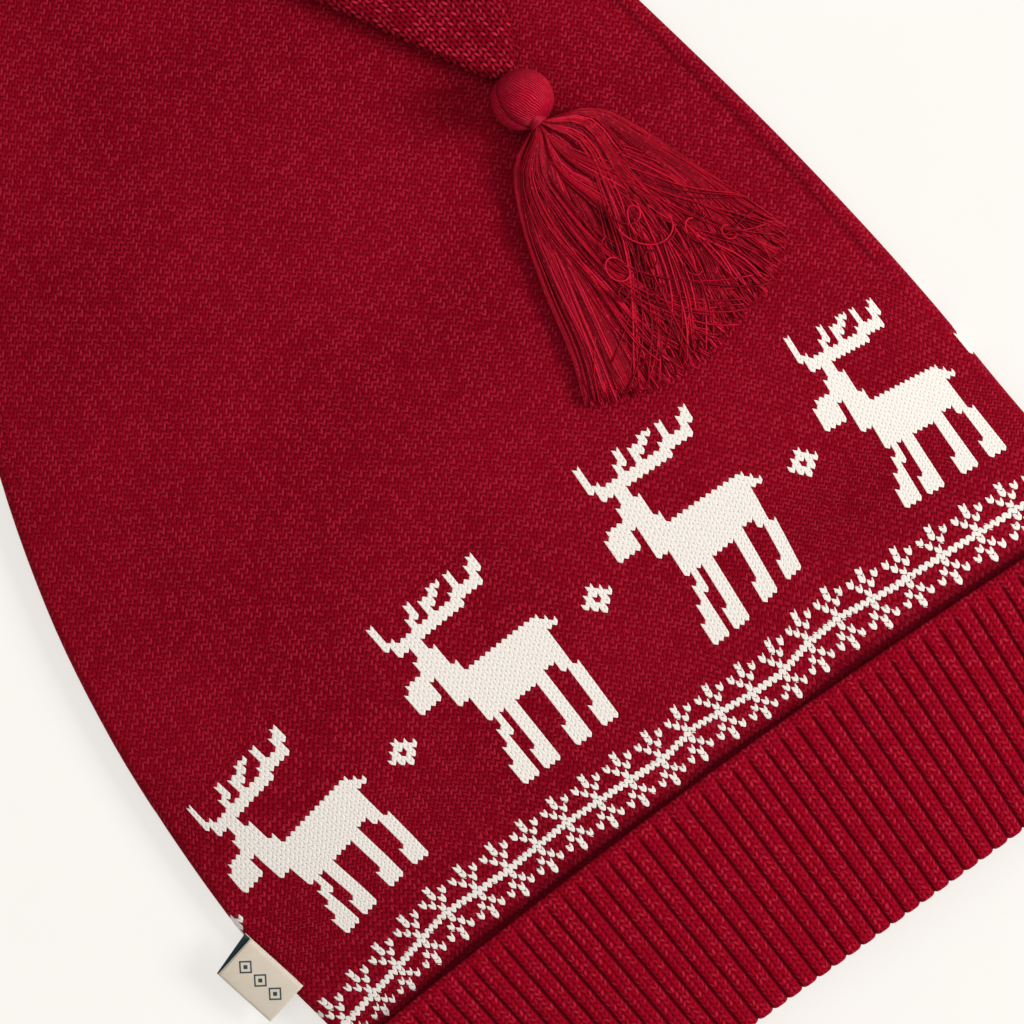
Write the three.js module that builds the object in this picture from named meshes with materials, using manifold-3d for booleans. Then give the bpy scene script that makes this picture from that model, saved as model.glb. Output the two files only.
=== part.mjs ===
// A child's knitted stocking cap, lying flat on its back with its long tip folded down over the front.
// Millimetres. X runs across the cap, Y from the cuff to the fold, Z up from the surface it lies on.
import * as THREE from "three";
import { mergeVertices } from "three/addons/utils/BufferGeometryUtils.js";
import Module from "manifold-3d";

// Sizes of the crown
const CAP_WIDTH = 211;
const CUFF_TO_FOLD = 266;
const FOLD_TO_TIP = 108.5;
const LEAN = 26;
const CROWN_HEIGHT = 12.6;
const KNIT_WALL = 1.9;
const SIDE_EDGE = 5.2;
const FOLD_INNER_RADIUS = 0.7;
const FLAP_PUFF = 1;
const TIP_OFFSET = 51.5;
const LAY_GAP = 0.4;
const SEAM_GAP = 0.3;

// Sizes of the cuff
const CUFF_DEPTH = 50.8;
const CUFF_BOW = 4;
const CUFF_OVERLAP = 6;
const CUFF_PULL_IN = 6.5;
const MOUTH_HEIGHT = 12.4;
const RIB_COUNT = 98;
const RIB_CREST = 2.3;
const RIB_VALLEY = 1.4;
const RIB_SCALLOP = 0.8;
const CUFF_LIP = 2.2;

// Sizes of the tassel
const BALL_DIAMETER = 14.4;
const NECK_DIAMETER = 7;
const SKIRT_LENGTH = 62;
const SKIRT_SPREAD = 60;
const LOCK_WIDTH = 6.4;
const LOCK_THICKNESS = 2.6;
const LOCK_LAYER_STEP = 1.5;

// Sizes of the folded label
const LABEL_WIDTH = 16;
const LABEL_LENGTH = 11.2;
const LABEL_TAPE = 0.5;
const LABEL_SLIT = 0.3;
const LABEL_DROOP = 2.6;
const LABEL_TURN = 12;
const LABEL_PLACE = 25.5;

// What the sizes above give
const HALF_WIDTH = CAP_WIDTH / 2;
const LIFT = RIB_CREST + LAY_GAP;
const BEND_HEIGHT = SIDE_EDGE + FOLD_INNER_RADIUS;
const FOLD_GAP = 2 * FOLD_INNER_RADIUS;
const LABEL_ROOT = SIDE_EDGE / 2 - LAY_GAP;

// The crown from its lower edge to the fold. along is a share of CUFF_TO_FOLD, half of HALF_WIDTH,
// lean of LEAN, top of CROWN_HEIGHT above the side edge and lift of LIFT.
const BODY = [
  { along: -0.0226, half: 0.981, lean: -0.04, top: 0.9, lift: 1 },
  { along: 0.02, half: 0.992, lean: -0.06, top: 0.93, lift: 1 },
  { along: 0.07, half: 1.002, lean: -0.11, top: 0.96, lift: 0.42 },
  { along: 0.132, half: 1.006, lean: -0.17, top: 1, lift: 0 },
  { along: 0.233, half: 0.998, lean: -0.206, top: 1, lift: 0 },
  { along: 0.331, half: 0.977, lean: -0.227, top: 0.97, lift: 0 },
  { along: 0.447, half: 0.932, lean: -0.215, top: 0.9, lift: 0 },
  { along: 0.575, half: 0.856, lean: -0.142, top: 0.76, lift: 0 },
  { along: 0.677, half: 0.774, lean: -0.015, top: 0.6, lift: 0 },
  { along: 0.79, half: 0.665, lean: 0.2, top: 0.38, lift: 0 },
  { along: 0.902, half: 0.542, lean: 0.487, top: 0.15, lift: 0 },
  { along: 0.97, half: 0.461, lean: 0.69, top: 0.02, lift: 0 },
  { along: 1, half: 0.427, lean: 0.777, top: 0, lift: 0 },
];

// The flap from the fold to its tip. along is a share of FOLD_TO_TIP, half of HALF_WIDTH,
// shift goes from the fold's middle, at 0, to the tip's, at 1, edge is a share of SIDE_EDGE.
const FLAP = [
  { along: 0.0, half: 0.427, shift: 0, edge: 1, puff: 0 },
  { along: 0.1, half: 0.386, shift: 0.15, edge: 1, puff: 0.3 },
  { along: 0.24, half: 0.328, shift: 0.37, edge: 1, puff: 0.8 },
  { along: 0.36, half: 0.288, shift: 0.53, edge: 1, puff: 1 },
  { along: 0.47, half: 0.251, shift: 0.66, edge: 1, puff: 1 },
  { along: 0.58, half: 0.213, shift: 0.78, edge: 1, puff: 1 },
  { along: 0.68, half: 0.178, shift: 0.87, edge: 1, puff: 0.9 },
  { along: 0.78, half: 0.14, shift: 0.94, edge: 1, puff: 0.7 },
  { along: 0.87, half: 0.098, shift: 0.97, edge: 1, puff: 0.4 },
  { along: 0.94, half: 0.064, shift: 0.99, edge: 0.94, puff: 0.2 },
  { along: 0.98, half: 0.042, shift: 1, edge: 0.8, puff: 0 },
  { along: 1, half: 0.024, shift: 1, edge: 0.6, puff: 0 },
];

// Locks of the tassel's skirt. side runs from -1 at the left to 1 at the right, reach is a share of
// SKIRT_LENGTH, layer counts up from the crown.
const LOCKS = [
  { side: -0.95, reach: 0.93, layer: 0 },
  { side: -0.78, reach: 0.97, layer: 1 },
  { side: -0.62, reach: 0.95, layer: 0 },
  { side: -0.46, reach: 1.0, layer: 1 },
  { side: -0.3, reach: 0.97, layer: 0 },
  { side: -0.14, reach: 1.02, layer: 1 },
  { side: 0.02, reach: 0.98, layer: 0 },
  { side: 0.18, reach: 1.01, layer: 1 },
  { side: 0.34, reach: 0.97, layer: 0 },
  { side: 0.5, reach: 0.96, layer: 1 },
  { side: 0.66, reach: 0.93, layer: 0 },
  { side: 0.82, reach: 0.9, layer: 1 },
  { side: 0.97, reach: 0.84, layer: 0 },
];

// How far the skirt has opened. down is a share of a lock's reach, open of half SKIRT_SPREAD,
// wide of LOCK_WIDTH, and hang says how much of the way down to the crown is still left.
const FLARE = [
  { down: 0, open: 0.07, wide: 0.35, hang: 1 },
  { down: 0.06, open: 0.28, wide: 0.5, hang: 0.75 },
  { down: 0.15, open: 0.47, wide: 0.68, hang: 0.4 },
  { down: 0.3, open: 0.63, wide: 0.82, hang: 0.1 },
  { down: 0.5, open: 0.77, wide: 0.95, hang: 0 },
  { down: 0.75, open: 0.87, wide: 1, hang: 0 },
  { down: 0.93, open: 0.97, wide: 0.9, hang: 0 },
  { down: 1, open: 1.02, wide: 0.5, hang: 0 },
];

// Points round a flattened section
const FACE_POINTS = 11;
const EDGE_STEPS = 4;
const FOLD_STEPS = 8;
const POINTS_PER_RIB = 3;

// A column of a table at a place along it, on a smooth curve through its rows.
function column(rows, key, name, at) {
  const last = rows.length - 1;
  let i = 0;
  while (i < last - 1 && at > rows[i + 1][key]) {
    i += 1;
  }
  const before = rows[Math.max(i - 1, 0)];
  const from = rows[i];
  const to = rows[i + 1];
  const after = rows[Math.min(i + 2, last)];
  const span = to[key] - from[key];
  const t = THREE.MathUtils.clamp((at - from[key]) / span, 0, 1);
  const slopeFrom = ((to[name] - before[name]) / (to[key] - before[key])) * span;
  const slopeTo = ((after[name] - from[name]) / (after[key] - from[key])) * span;
  const curve = 2 * t ** 3 - 3 * t ** 2 + 1;
  const ease = 3 * t ** 2 - 2 * t ** 3;
  return (
    curve * from[name] +
    ease * to[name] +
    (t ** 3 - 2 * t ** 2 + t) * slopeFrom +
    (t ** 3 - t ** 2) * slopeTo
  );
}

// The flattened tube's sizes at a distance from the cuff line.
function bodySection(along) {
  const at = along / CUFF_TO_FOLD;
  const bottom = LIFT * THREE.MathUtils.clamp(column(BODY, "along", "lift", at), 0, 1);
  const swell = Math.max(column(BODY, "along", "top", at), 0);
  return {
    middle: LEAN * column(BODY, "along", "lean", at),
    half: HALF_WIDTH * column(BODY, "along", "half", at),
    bottom,
    edge: SIDE_EDGE,
    swell: swell * (CROWN_HEIGHT - SIDE_EDGE),
  };
}

// How high the upper wall stands over the side edge, across a section.
function swellAt(section, x) {
  const reach = section.half - section.edge / 2;
  const share = Math.min(Math.abs(x - section.middle) / reach, 1);
  return section.swell * (1 - share ** 3);
}

// The height of the crown's front face at a point of the surface that it lies on.
function frontHeight(x, along) {
  const section = bodySection(along);
  return section.bottom + section.edge + swellAt(section, x);
}

// One closed loop round a flattened tube, from the lower face by the right edge to the upper face
// and back by the left edge. inset moves it into the wall, and out of it where it is negative.
function sectionLoop(section, inset) {
  const radius = section.edge / 2;
  const flat = section.half - radius;
  const centre = section.bottom + radius;
  const points = [];
  for (const side of [1, -1]) {
    for (let i = 1; i <= FACE_POINTS; i += 1) {
      const x = section.middle + side * flat * ((2 * i) / (FACE_POINTS + 1) - 1);
      const upper = side < 0;
      const face = upper ? section.bottom + section.edge + swellAt(section, x) : section.bottom;
      points.push({ x, z: upper ? face - inset : face + inset });
    }
    for (let i = 0; i <= EDGE_STEPS; i += 1) {
      const turn = side * (-Math.PI / 2 + (Math.PI * i) / EDGE_STEPS);
      points.push({
        x: section.middle + side * (flat + (radius - inset) * Math.cos(turn)),
        z: centre + (radius - inset) * Math.sin(turn),
      });
    }
  }
  return points;
}

// A ring of points of the lying part of the crown.
function bodyRing(along, inset) {
  return sectionLoop(bodySection(along), inset).map((p) => new THREE.Vector3(p.x, along, p.z));
}

// The flap's sizes at a share of its length, as if it weren't folded over.
function flapSection(share) {
  const start = LEAN * BODY[BODY.length - 1].lean;
  return {
    middle: start + (TIP_OFFSET - start) * column(FLAP, "along", "shift", share),
    half: HALF_WIDTH * column(FLAP, "along", "half", share),
    bottom: 0,
    edge: SIDE_EDGE * Math.min(column(FLAP, "along", "edge", share), 1),
    swell: FLAP_PUFF * Math.max(column(FLAP, "along", "puff", share), 0),
  };
}

// A ring round the fold, turned from the lying part, at 0, to the flap, at 1.
function foldRing(turn, inset) {
  const angle = Math.PI * turn;
  return sectionLoop(bodySection(CUFF_TO_FOLD), inset).map((p) => {
    const arm = BEND_HEIGHT - p.z;
    return new THREE.Vector3(
      p.x,
      CUFF_TO_FOLD + arm * Math.sin(angle),
      BEND_HEIGHT - arm * Math.cos(angle),
    );
  });
}

// A ring of the flap, which lies on the crown's front face with its own front face down.
function flapRing(share, inset) {
  const section = flapSection(share);
  const along = CUFF_TO_FOLD - share * FOLD_TO_TIP;
  const gap = THREE.MathUtils.lerp(FOLD_GAP, LAY_GAP, THREE.MathUtils.smoothstep(share, 0, 0.4));
  return sectionLoop(section, inset).map((p) => {
    const thick = section.edge + swellAt(section, p.x);
    return new THREE.Vector3(p.x, along, frontHeight(p.x, along) + gap + thick - p.z);
  });
}

// How far round a ring each of its points is, as a share of its length.
function sharesRound(ring) {
  const shares = [0];
  ring.forEach((p, i) => shares.push(shares[i] + p.distanceTo(ring[(i + 1) % ring.length])));
  return shares.map((share) => share / shares[ring.length]);
}

// A solid from rings that follow each other. Rings with as many points are joined point by point,
// others by how far round their points are. Ends are closed, or the last ring meets the first.
function solidFromRings(rings, joined) {
  const vertices = rings.flat();
  const starts = [];
  let count = 0;
  for (const ring of rings) {
    starts.push(count);
    count += ring.length;
  }
  const faces = [];
  const bands = joined ? rings.length : rings.length - 1;
  for (let r = 0; r < bands; r += 1) {
    const next = (r + 1) % rings.length;
    const alike = rings[r].length === rings[next].length;
    const [a, b] = [r, next].map((k) => ({
      start: starts[k],
      size: rings[k].length,
      shares: alike ? rings[k].map((_, i) => i).concat(rings[k].length) : sharesRound(rings[k]),
      step: 0,
    }));
    while (a.step < a.size || b.step < b.size) {
      const here = a.start + (a.step % a.size);
      const there = b.start + (b.step % b.size);
      const onA = a.step < a.size && a.shares[a.step + 1] <= b.shares[b.step + 1];
      if (b.step >= b.size || onA) {
        faces.push(here, there, a.start + ((a.step + 1) % a.size));
        a.step += 1;
      } else {
        faces.push(here, there, b.start + ((b.step + 1) % b.size));
        b.step += 1;
      }
    }
  }
  if (!joined) {
    const ends = [
      { ring: rings[0], start: starts[0], out: false },
      { ring: rings[rings.length - 1], start: starts[rings.length - 1], out: true },
    ];
    for (const end of ends) {
      const middle = end.ring.reduce((sum, p) => sum.add(p), new THREE.Vector3());
      vertices.push(middle.divideScalar(end.ring.length));
      for (let i = 0; i < end.ring.length; i += 1) {
        const one = end.start + i;
        const two = end.start + ((i + 1) % end.ring.length);
        const centre = vertices.length - 1;
        faces.push(centre, end.out ? two : one, end.out ? one : two);
      }
    }
  }
  const geometry = new THREE.BufferGeometry().setFromPoints(vertices);
  geometry.setIndex(faces);
  return geometry;
}

// Crown: the knitted tube, open at its lower end, with its closed tip folded over
function crownGeometry() {
  const body = BODY.slice(0, -1).map((row) => row.along * CUFF_TO_FOLD);
  const turns = Array.from({ length: FOLD_STEPS + 1 }, (_, i) => i / FOLD_STEPS);
  const flap = FLAP.slice(1).map((row) => row.along);
  const hollow = flap.filter((share) => flapSection(share).half > 2 * SIDE_EDGE);
  const outside = [
    ...body.map((along) => bodyRing(along, 0)),
    ...turns.map((turn) => foldRing(turn, 0)),
    ...flap.map((share) => flapRing(share, 0)),
  ];
  const inside = [
    ...body.map((along) => bodyRing(along, KNIT_WALL)),
    ...turns.map((turn) => foldRing(turn, KNIT_WALL)),
    ...hollow.map((share) => flapRing(share, KNIT_WALL)),
  ];
  return solidFromRings([...inside.reverse(), ...outside], false);
}

// The cuff follows the crown where it laps it, and below that it pulls in towards the hem.
function cuffSection(along) {
  const mouth = -CUFF_OVERLAP;
  if (along >= mouth) {
    return bodySection(along);
  }
  const top = bodySection(mouth);
  const share = (mouth - along) / (CUFF_DEPTH - CUFF_OVERLAP);
  return {
    ...top,
    half: top.half - CUFF_PULL_IN * share,
    middle: top.middle * (1 - share),
    swell: THREE.MathUtils.lerp(top.swell, MOUTH_HEIGHT - SIDE_EDGE, share),
  };
}

// The line of the cuff's upper edge bows towards the tip on both faces.
function bow(x) {
  return CUFF_BOW * (1 - Math.min(Math.abs(x) / HALF_WIDTH, 1) ** 2);
}

// A ring of the cuff with as many points as a ring of the crown, a distance outside the crown's face.
function cuffRing(along, out, bowed) {
  return sectionLoop(cuffSection(along), -out).map((p) => {
    const rise = bowed ? bow(p.x) : 0;
    return new THREE.Vector3(p.x, along + rise, p.z);
  });
}

// A ring of the cuff's ribbed face. full is 0 where the ribs are flat and 1 where they are whole.
function ribRing(along, full, thin, bowed, scallop) {
  const inner = cuffRing(along, LAY_GAP, bowed);
  const outer = cuffRing(along, LAY_GAP + 1, bowed);
  const lengths = inner.map((p, i) => p.distanceTo(inner[(i + 1) % inner.length]));
  const round = lengths.reduce((sum, length) => sum + length, 0);
  const points = [];
  for (let k = 0; k < RIB_COUNT * POINTS_PER_RIB; k += 1) {
    let rest = (round * k) / (RIB_COUNT * POINTS_PER_RIB);
    let i = 0;
    while (rest > lengths[i]) {
      rest -= lengths[i];
      i += 1;
    }
    const share = rest / lengths[i];
    const next = (i + 1) % inner.length;
    const from = inner[i].clone().lerp(inner[next], share);
    const to = outer[i].clone().lerp(outer[next], share);
    const crest = k % POINTS_PER_RIB > 0;
    const depth = crest ? RIB_CREST : THREE.MathUtils.lerp(RIB_CREST, RIB_VALLEY, full);
    const point = from.clone().addScaledVector(to.sub(from), depth * thin);
    point.y -= crest ? scallop : 0;
    points.push(point);
  }
  return points;
}

// Cuff: a ribbed band that is turned up, so two layers join at the hem
function cuffGeometry() {
  const hem = -(CUFF_DEPTH - CUFF_BOW);
  const mouth = -CUFF_OVERLAP - SEAM_GAP;
  const turn = KNIT_WALL + LAY_GAP / 2;
  const slit = hem + KNIT_WALL;
  return solidFromRings(
    [
      cuffRing(mouth, -KNIT_WALL, false),
      cuffRing(hem + turn, -KNIT_WALL, false),
      cuffRing(hem + turn / 3, -KNIT_WALL / 2, false),
      cuffRing(hem, LAY_GAP / 2, false),
      ribRing(hem + turn / 4, 0.7, 0.7, false, RIB_SCALLOP),
      ribRing(hem + turn, 1, 1, false, 0),
      ribRing(-CUFF_LIP - CUFF_OVERLAP, 1, 1, true, 0),
      ribRing(-CUFF_LIP, 1, 1, true, 0),
      ribRing(-CUFF_LIP / 3, 0.2, 0.9, true, 0),
      cuffRing(0, LAY_GAP + RIB_VALLEY / 2, true),
      cuffRing(-CUFF_LIP / 3, LAY_GAP, true),
      cuffRing(mouth, LAY_GAP, false),
      cuffRing(slit, LAY_GAP, false),
      cuffRing(slit, 0, false),
      cuffRing(mouth, 0, false),
    ],
    true,
  );
}

const wasm = await Module();
wasm.setup();

// A geometry as a solid that can be joined to others, and back.
function toSolid(geometry) {
  const bare = geometry.clone();
  bare.deleteAttribute("normal");
  bare.deleteAttribute("uv");
  const merged = mergeVertices(bare);
  return new wasm.Manifold(
    new wasm.Mesh({
      numProp: 3,
      vertProperties: new Float32Array(merged.getAttribute("position").array),
      triVerts: new Uint32Array(merged.getIndex().array),
    }),
  );
}

function toGeometry(solid) {
  const mesh = solid.getMesh();
  const geometry = new THREE.BufferGeometry();
  geometry.setAttribute("position", new THREE.BufferAttribute(mesh.vertProperties, 3));
  geometry.setIndex(new THREE.BufferAttribute(mesh.triVerts, 1));
  return geometry;
}

// One lock of the skirt: a flattened strip that leaves the neck and comes down onto the crown.
function lockGeometry(lock, neck) {
  const rings = FLARE.map((row) => {
    const x = neck.x + (lock.side * row.open * SKIRT_SPREAD) / 2;
    const y = neck.y - row.down * lock.reach * SKIRT_LENGTH;
    const half = (LOCK_WIDTH * row.wide) / 2;
    const low = frontHeight(x, y) + LAY_GAP + LOCK_LAYER_STEP * lock.layer;
    const fall = Math.max(neck.z - LOCK_THICKNESS / 2 - low, 0);
    const thick = LOCK_THICKNESS * (0.6 + 0.4 * row.wide);
    const outline = [
      { across: -0.6, up: 0 },
      { across: 0.6, up: 0 },
      { across: 1, up: 0.5 },
      { across: 0.45, up: 1 },
      { across: -0.45, up: 1 },
      { across: -1, up: 0.5 },
    ];
    return outline.map((p) => {
      const px = x + p.across * half;
      const tilt = frontHeight(px, y) - frontHeight(x, y);
      const rise = Math.max(tilt, 0) * (1 - row.hang);
      return new THREE.Vector3(px, y, low + fall * row.hang + thick * p.up + rise);
    });
  });
  return solidFromRings(rings.reverse(), false);
}

// Tassel: a wound ball at the tip, a wrapped neck and a skirt of locks
function tasselGeometry() {
  const radius = BALL_DIAMETER / 2;
  const tipY = CUFF_TO_FOLD - FOLD_TO_TIP;
  const ballY = tipY - SEAM_GAP - radius;
  const ballZ = frontHeight(TIP_OFFSET, ballY) + LAY_GAP + radius;
  const ball = new THREE.SphereGeometry(radius, 20, 12);
  ball.translate(TIP_OFFSET, ballY, ballZ);
  const neckLength = NECK_DIAMETER * 0.8;
  const neck = new THREE.Vector3(TIP_OFFSET, ballY - radius * 0.9, ballZ - radius * 0.35);
  const wrap = new THREE.CylinderGeometry(NECK_DIAMETER / 2, NECK_DIAMETER / 2, neckLength, 12);
  wrap.translate(neck.x, neck.y, neck.z);
  let joined = toSolid(ball).add(toSolid(wrap));
  for (const lock of LOCKS) {
    joined = joined.add(toSolid(lockGeometry(lock, neck)));
  }
  return toGeometry(joined);
}

// Label: a tape folded in two, with both ends in the side seam
function labelGeometry() {
  const steps = 6;
  const droopAt = (share) => -LABEL_DROOP * share ** 1.5;
  const line = (height, from, to) => {
    const points = [];
    for (let i = 0; i <= steps; i += 1) {
      const share = THREE.MathUtils.lerp(from, to, i / steps);
      const out = -LABEL_ROOT + share * LABEL_LENGTH;
      points.push(new THREE.Vector2(out, height + droopAt(share)));
    }
    return points;
  };
  const whole = 2 * LABEL_TAPE + LABEL_SLIT;
  const bend = 1 - LABEL_TAPE / LABEL_LENGTH;
  const outline = [
    ...line(0, 0, bend),
    new THREE.Vector2(LABEL_LENGTH - LABEL_ROOT, whole / 2 + droopAt(1)),
    ...line(whole, bend, 0),
    ...line(whole - LABEL_TAPE, 0, bend),
    ...line(LABEL_TAPE, bend, 0),
  ];
  const tape = new THREE.ExtrudeGeometry(new THREE.Shape(outline), {
    depth: LABEL_WIDTH,
    bevelEnabled: false,
    steps: 1,
  });
  tape.translate(0, 0, -LABEL_WIDTH / 2);
  return tape;
}

function piece(name, geometry, color, roughness) {
  const material = new THREE.MeshStandardMaterial({ color, roughness, metalness: 0 });
  const mesh = new THREE.Mesh(geometry, material);
  mesh.name = name;
  return mesh;
}

const cap = new THREE.Group();
cap.name = "stocking_cap";
cap.add(piece("crown", crownGeometry(), 0x8e0c26, 0.9));
cap.add(piece("cuff", cuffGeometry(), 0x870a22, 0.9));
cap.add(piece("tassel", tasselGeometry(), 0x9c0f2b, 0.7));

const label = piece("label", labelGeometry(), 0xe6dcc0, 0.85);
const beside = bodySection(LABEL_PLACE);
const turned = THREE.MathUtils.degToRad(180 + LABEL_TURN);
const outward = new THREE.Vector3(Math.cos(turned), Math.sin(turned), 0);
const upward = new THREE.Vector3(0, 0, 1);
const widthways = outward.clone().cross(upward);
label.setRotationFromMatrix(new THREE.Matrix4().makeBasis(outward, upward, widthways));
label.position.set(beside.middle - beside.half, LABEL_PLACE, 0);
const corners = [-0.5, 0.5].map((share) => {
  const along = widthways.clone().multiplyScalar(share * LABEL_WIDTH);
  return label.position.clone().addScaledVector(outward, -LABEL_ROOT).add(along);
});
label.position.z = Math.max(...corners.map((p) => frontHeight(p.x, p.y))) + LAY_GAP;
cap.add(label);

// The origin is under the middle of the whole cap, on the surface that it lies on.
const bounds = new THREE.Box3().setFromObject(cap, true);
const middle = bounds.getCenter(new THREE.Vector3());
cap.position.set(-middle.x, -middle.y, -bounds.min.z);

export default cap;
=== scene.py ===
# %% [markdown]
# A child's knitted stocking cap, lying flat on its back with its long tip folded over the front.
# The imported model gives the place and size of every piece, in metres. The pieces here are its dressed
# forms: a knitted crown, a ribbed cuff, a tassel of thread and a folded side label.

# %% Load the frame
import math
import random

import bpy
import numpy as np
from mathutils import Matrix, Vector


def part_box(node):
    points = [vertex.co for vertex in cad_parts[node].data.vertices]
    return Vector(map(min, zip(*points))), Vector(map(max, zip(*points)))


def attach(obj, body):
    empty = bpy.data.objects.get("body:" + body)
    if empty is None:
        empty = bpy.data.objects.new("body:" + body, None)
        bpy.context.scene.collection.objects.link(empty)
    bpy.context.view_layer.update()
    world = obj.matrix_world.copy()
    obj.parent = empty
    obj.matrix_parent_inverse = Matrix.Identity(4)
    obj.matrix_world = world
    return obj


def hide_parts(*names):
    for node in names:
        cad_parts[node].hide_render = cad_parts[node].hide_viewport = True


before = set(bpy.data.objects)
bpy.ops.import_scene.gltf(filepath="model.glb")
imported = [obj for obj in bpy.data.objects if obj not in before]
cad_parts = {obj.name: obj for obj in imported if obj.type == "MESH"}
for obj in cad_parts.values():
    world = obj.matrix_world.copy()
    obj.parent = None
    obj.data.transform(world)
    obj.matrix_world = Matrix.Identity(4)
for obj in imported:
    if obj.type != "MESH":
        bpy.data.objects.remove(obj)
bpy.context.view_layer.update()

# %% [markdown]
# The cap is measured in its own millimetres: x runs across it, along runs from the cuff line to the
# fold, z is the height over the table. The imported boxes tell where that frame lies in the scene. The
# lists below are the same sections that the frame's crown is built from, so the knitting lies on it.

# %% Sizes and sections of the cap
CAP_WIDTH = 211
CUFF_TO_FOLD = 266
FOLD_TO_TIP = 108.5
LEAN = 26
CROWN_HEIGHT = 12.6
KNIT_WALL = 1.9
SIDE_EDGE = 5.2
FOLD_INNER_RADIUS = 0.7
TIP_OFFSET = 51.5
LAY_GAP = 0.4
RIB_CREST = 2.3
HALF_WIDTH = CAP_WIDTH / 2
LIFT = RIB_CREST + LAY_GAP
BEND_HEIGHT = SIDE_EDGE + FOLD_INNER_RADIUS

# The body from the cuff line to the fold, in shares: of that length, of half the width, of the lean to
# one side, of the swell over the edges, and of the lift that the cuff's ribs under it give.
BODY = {
    "along": [-0.0226, 0.02, 0.07, 0.132, 0.233, 0.331, 0.447, 0.575, 0.677, 0.79, 0.902, 0.97, 1],
    "half": [0.981, 0.992, 1.002, 1.006, 0.998, 0.977, 0.932, 0.856, 0.774, 0.665, 0.542, 0.461, 0.427],
    "lean": [-0.04, -0.06, -0.11, -0.17, -0.206, -0.227, -0.215, -0.142, -0.015, 0.2, 0.487, 0.69, 0.777],
    "top": [0.9, 0.93, 0.96, 1, 1, 0.97, 0.9, 0.76, 0.6, 0.38, 0.15, 0.02, 0],
    "lift": [1, 1, 0.42, 0, 0, 0, 0, 0, 0, 0, 0, 0, 0],
}
# The folded tip: shares of its length, of half the width, of the way across to the tip's offset and of
# the edge's height, and the swell in millimetres.
FLAP = {
    "along": [0, 0.1, 0.24, 0.36, 0.47, 0.58, 0.68, 0.78, 0.87, 0.94, 0.98, 1],
    "half": [0.427, 0.386, 0.328, 0.288, 0.251, 0.213, 0.178, 0.14, 0.098, 0.064, 0.042, 0.024],
    "shift": [0, 0.15, 0.37, 0.53, 0.66, 0.78, 0.87, 0.94, 0.97, 0.99, 1, 1],
    "edge": [1, 1, 1, 1, 1, 1, 1, 1, 1, 0.94, 0.8, 0.6],
    "puff": [0, 0.3, 0.8, 1, 1, 1, 0.9, 0.7, 0.4, 0.2, 0, 0],
}


def smooth_between(table, name, at):
    """A column of a table at the places in at, on a smooth curve through its rows."""
    key = np.array(table["along"], float)
    value = np.array(table[name], float)
    at = np.asarray(at, float)
    last = len(key) - 1
    i = np.clip(np.searchsorted(key, at, side="right") - 1, 0, last - 1)
    before = np.maximum(i - 1, 0)
    after = np.minimum(i + 2, last)
    span = key[i + 1] - key[i]
    t = np.clip((at - key[i]) / span, 0, 1)
    slope_from = (value[i + 1] - value[before]) / (key[i + 1] - key[before]) * span
    slope_to = (value[after] - value[i]) / (key[after] - key[i]) * span
    return (
        (2 * t**3 - 3 * t**2 + 1) * value[i]
        + (3 * t**2 - 2 * t**3) * value[i + 1]
        + (t**3 - 2 * t**2 + t) * slope_from
        + (t**3 - t**2) * slope_to
    )


def body_section(along):
    """Middle, half width, bottom, edge height and swell of the lying tube."""
    at = np.asarray(along, float) / CUFF_TO_FOLD
    return {
        "middle": LEAN * smooth_between(BODY, "lean", at),
        "half": HALF_WIDTH * smooth_between(BODY, "half", at),
        "bottom": LIFT * np.clip(smooth_between(BODY, "lift", at), 0, 1),
        "edge": np.full(at.shape, float(SIDE_EDGE)),
        "swell": np.maximum(smooth_between(BODY, "top", at), 0) * (CROWN_HEIGHT - SIDE_EDGE),
    }


def flap_section(share):
    """The same sizes for the folded tip, as if it weren't folded yet."""
    share = np.asarray(share, float)
    start = LEAN * BODY["lean"][-1]
    return {
        "middle": start + (TIP_OFFSET - start) * smooth_between(FLAP, "shift", share),
        "half": HALF_WIDTH * smooth_between(FLAP, "half", share),
        "bottom": np.zeros(share.shape),
        "edge": SIDE_EDGE * np.minimum(smooth_between(FLAP, "edge", share), 1),
        "swell": np.maximum(smooth_between(FLAP, "puff", share), 0),
    }


def swell_at(section, x):
    """How far the face stands over the height of the edges at x."""
    reach = section["half"] - section["edge"] / 2
    share = np.minimum(np.abs(x - section["middle"]) / reach, 1)
    return section["swell"] * (1 - share**3)


def front_height(x, along):
    """The height over the table of the body's front."""
    section = body_section(along)
    return section["bottom"] + section["edge"] + swell_at(section, x)


crown_low, crown_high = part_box("crown")
reach_left = [LEAN * lean - HALF_WIDTH * half for lean, half in zip(BODY["lean"], BODY["half"])]
SHIFT_X = crown_low.x * 1000 - min(reach_left)
SHIFT_Y = crown_high.y * 1000 - CUFF_TO_FOLD - BEND_HEIGHT
print("the cap's frame lies at", round(SHIFT_X, 2), round(SHIFT_Y, 2), "mm")


def to_scene(points):
    """Cap millimetres to scene metres."""
    return (np.asarray(points, float) + [SHIFT_X, SHIFT_Y, 0]) / 1000


# %% [markdown]
# The camera and the light come first, so that every later step can be looked at. The photograph was
# taken from straight above with the cap turned by about 36 degrees, so the camera looks down and is
# turned instead. A long lens far away keeps the sides of the cap as upright as in the photograph.

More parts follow.
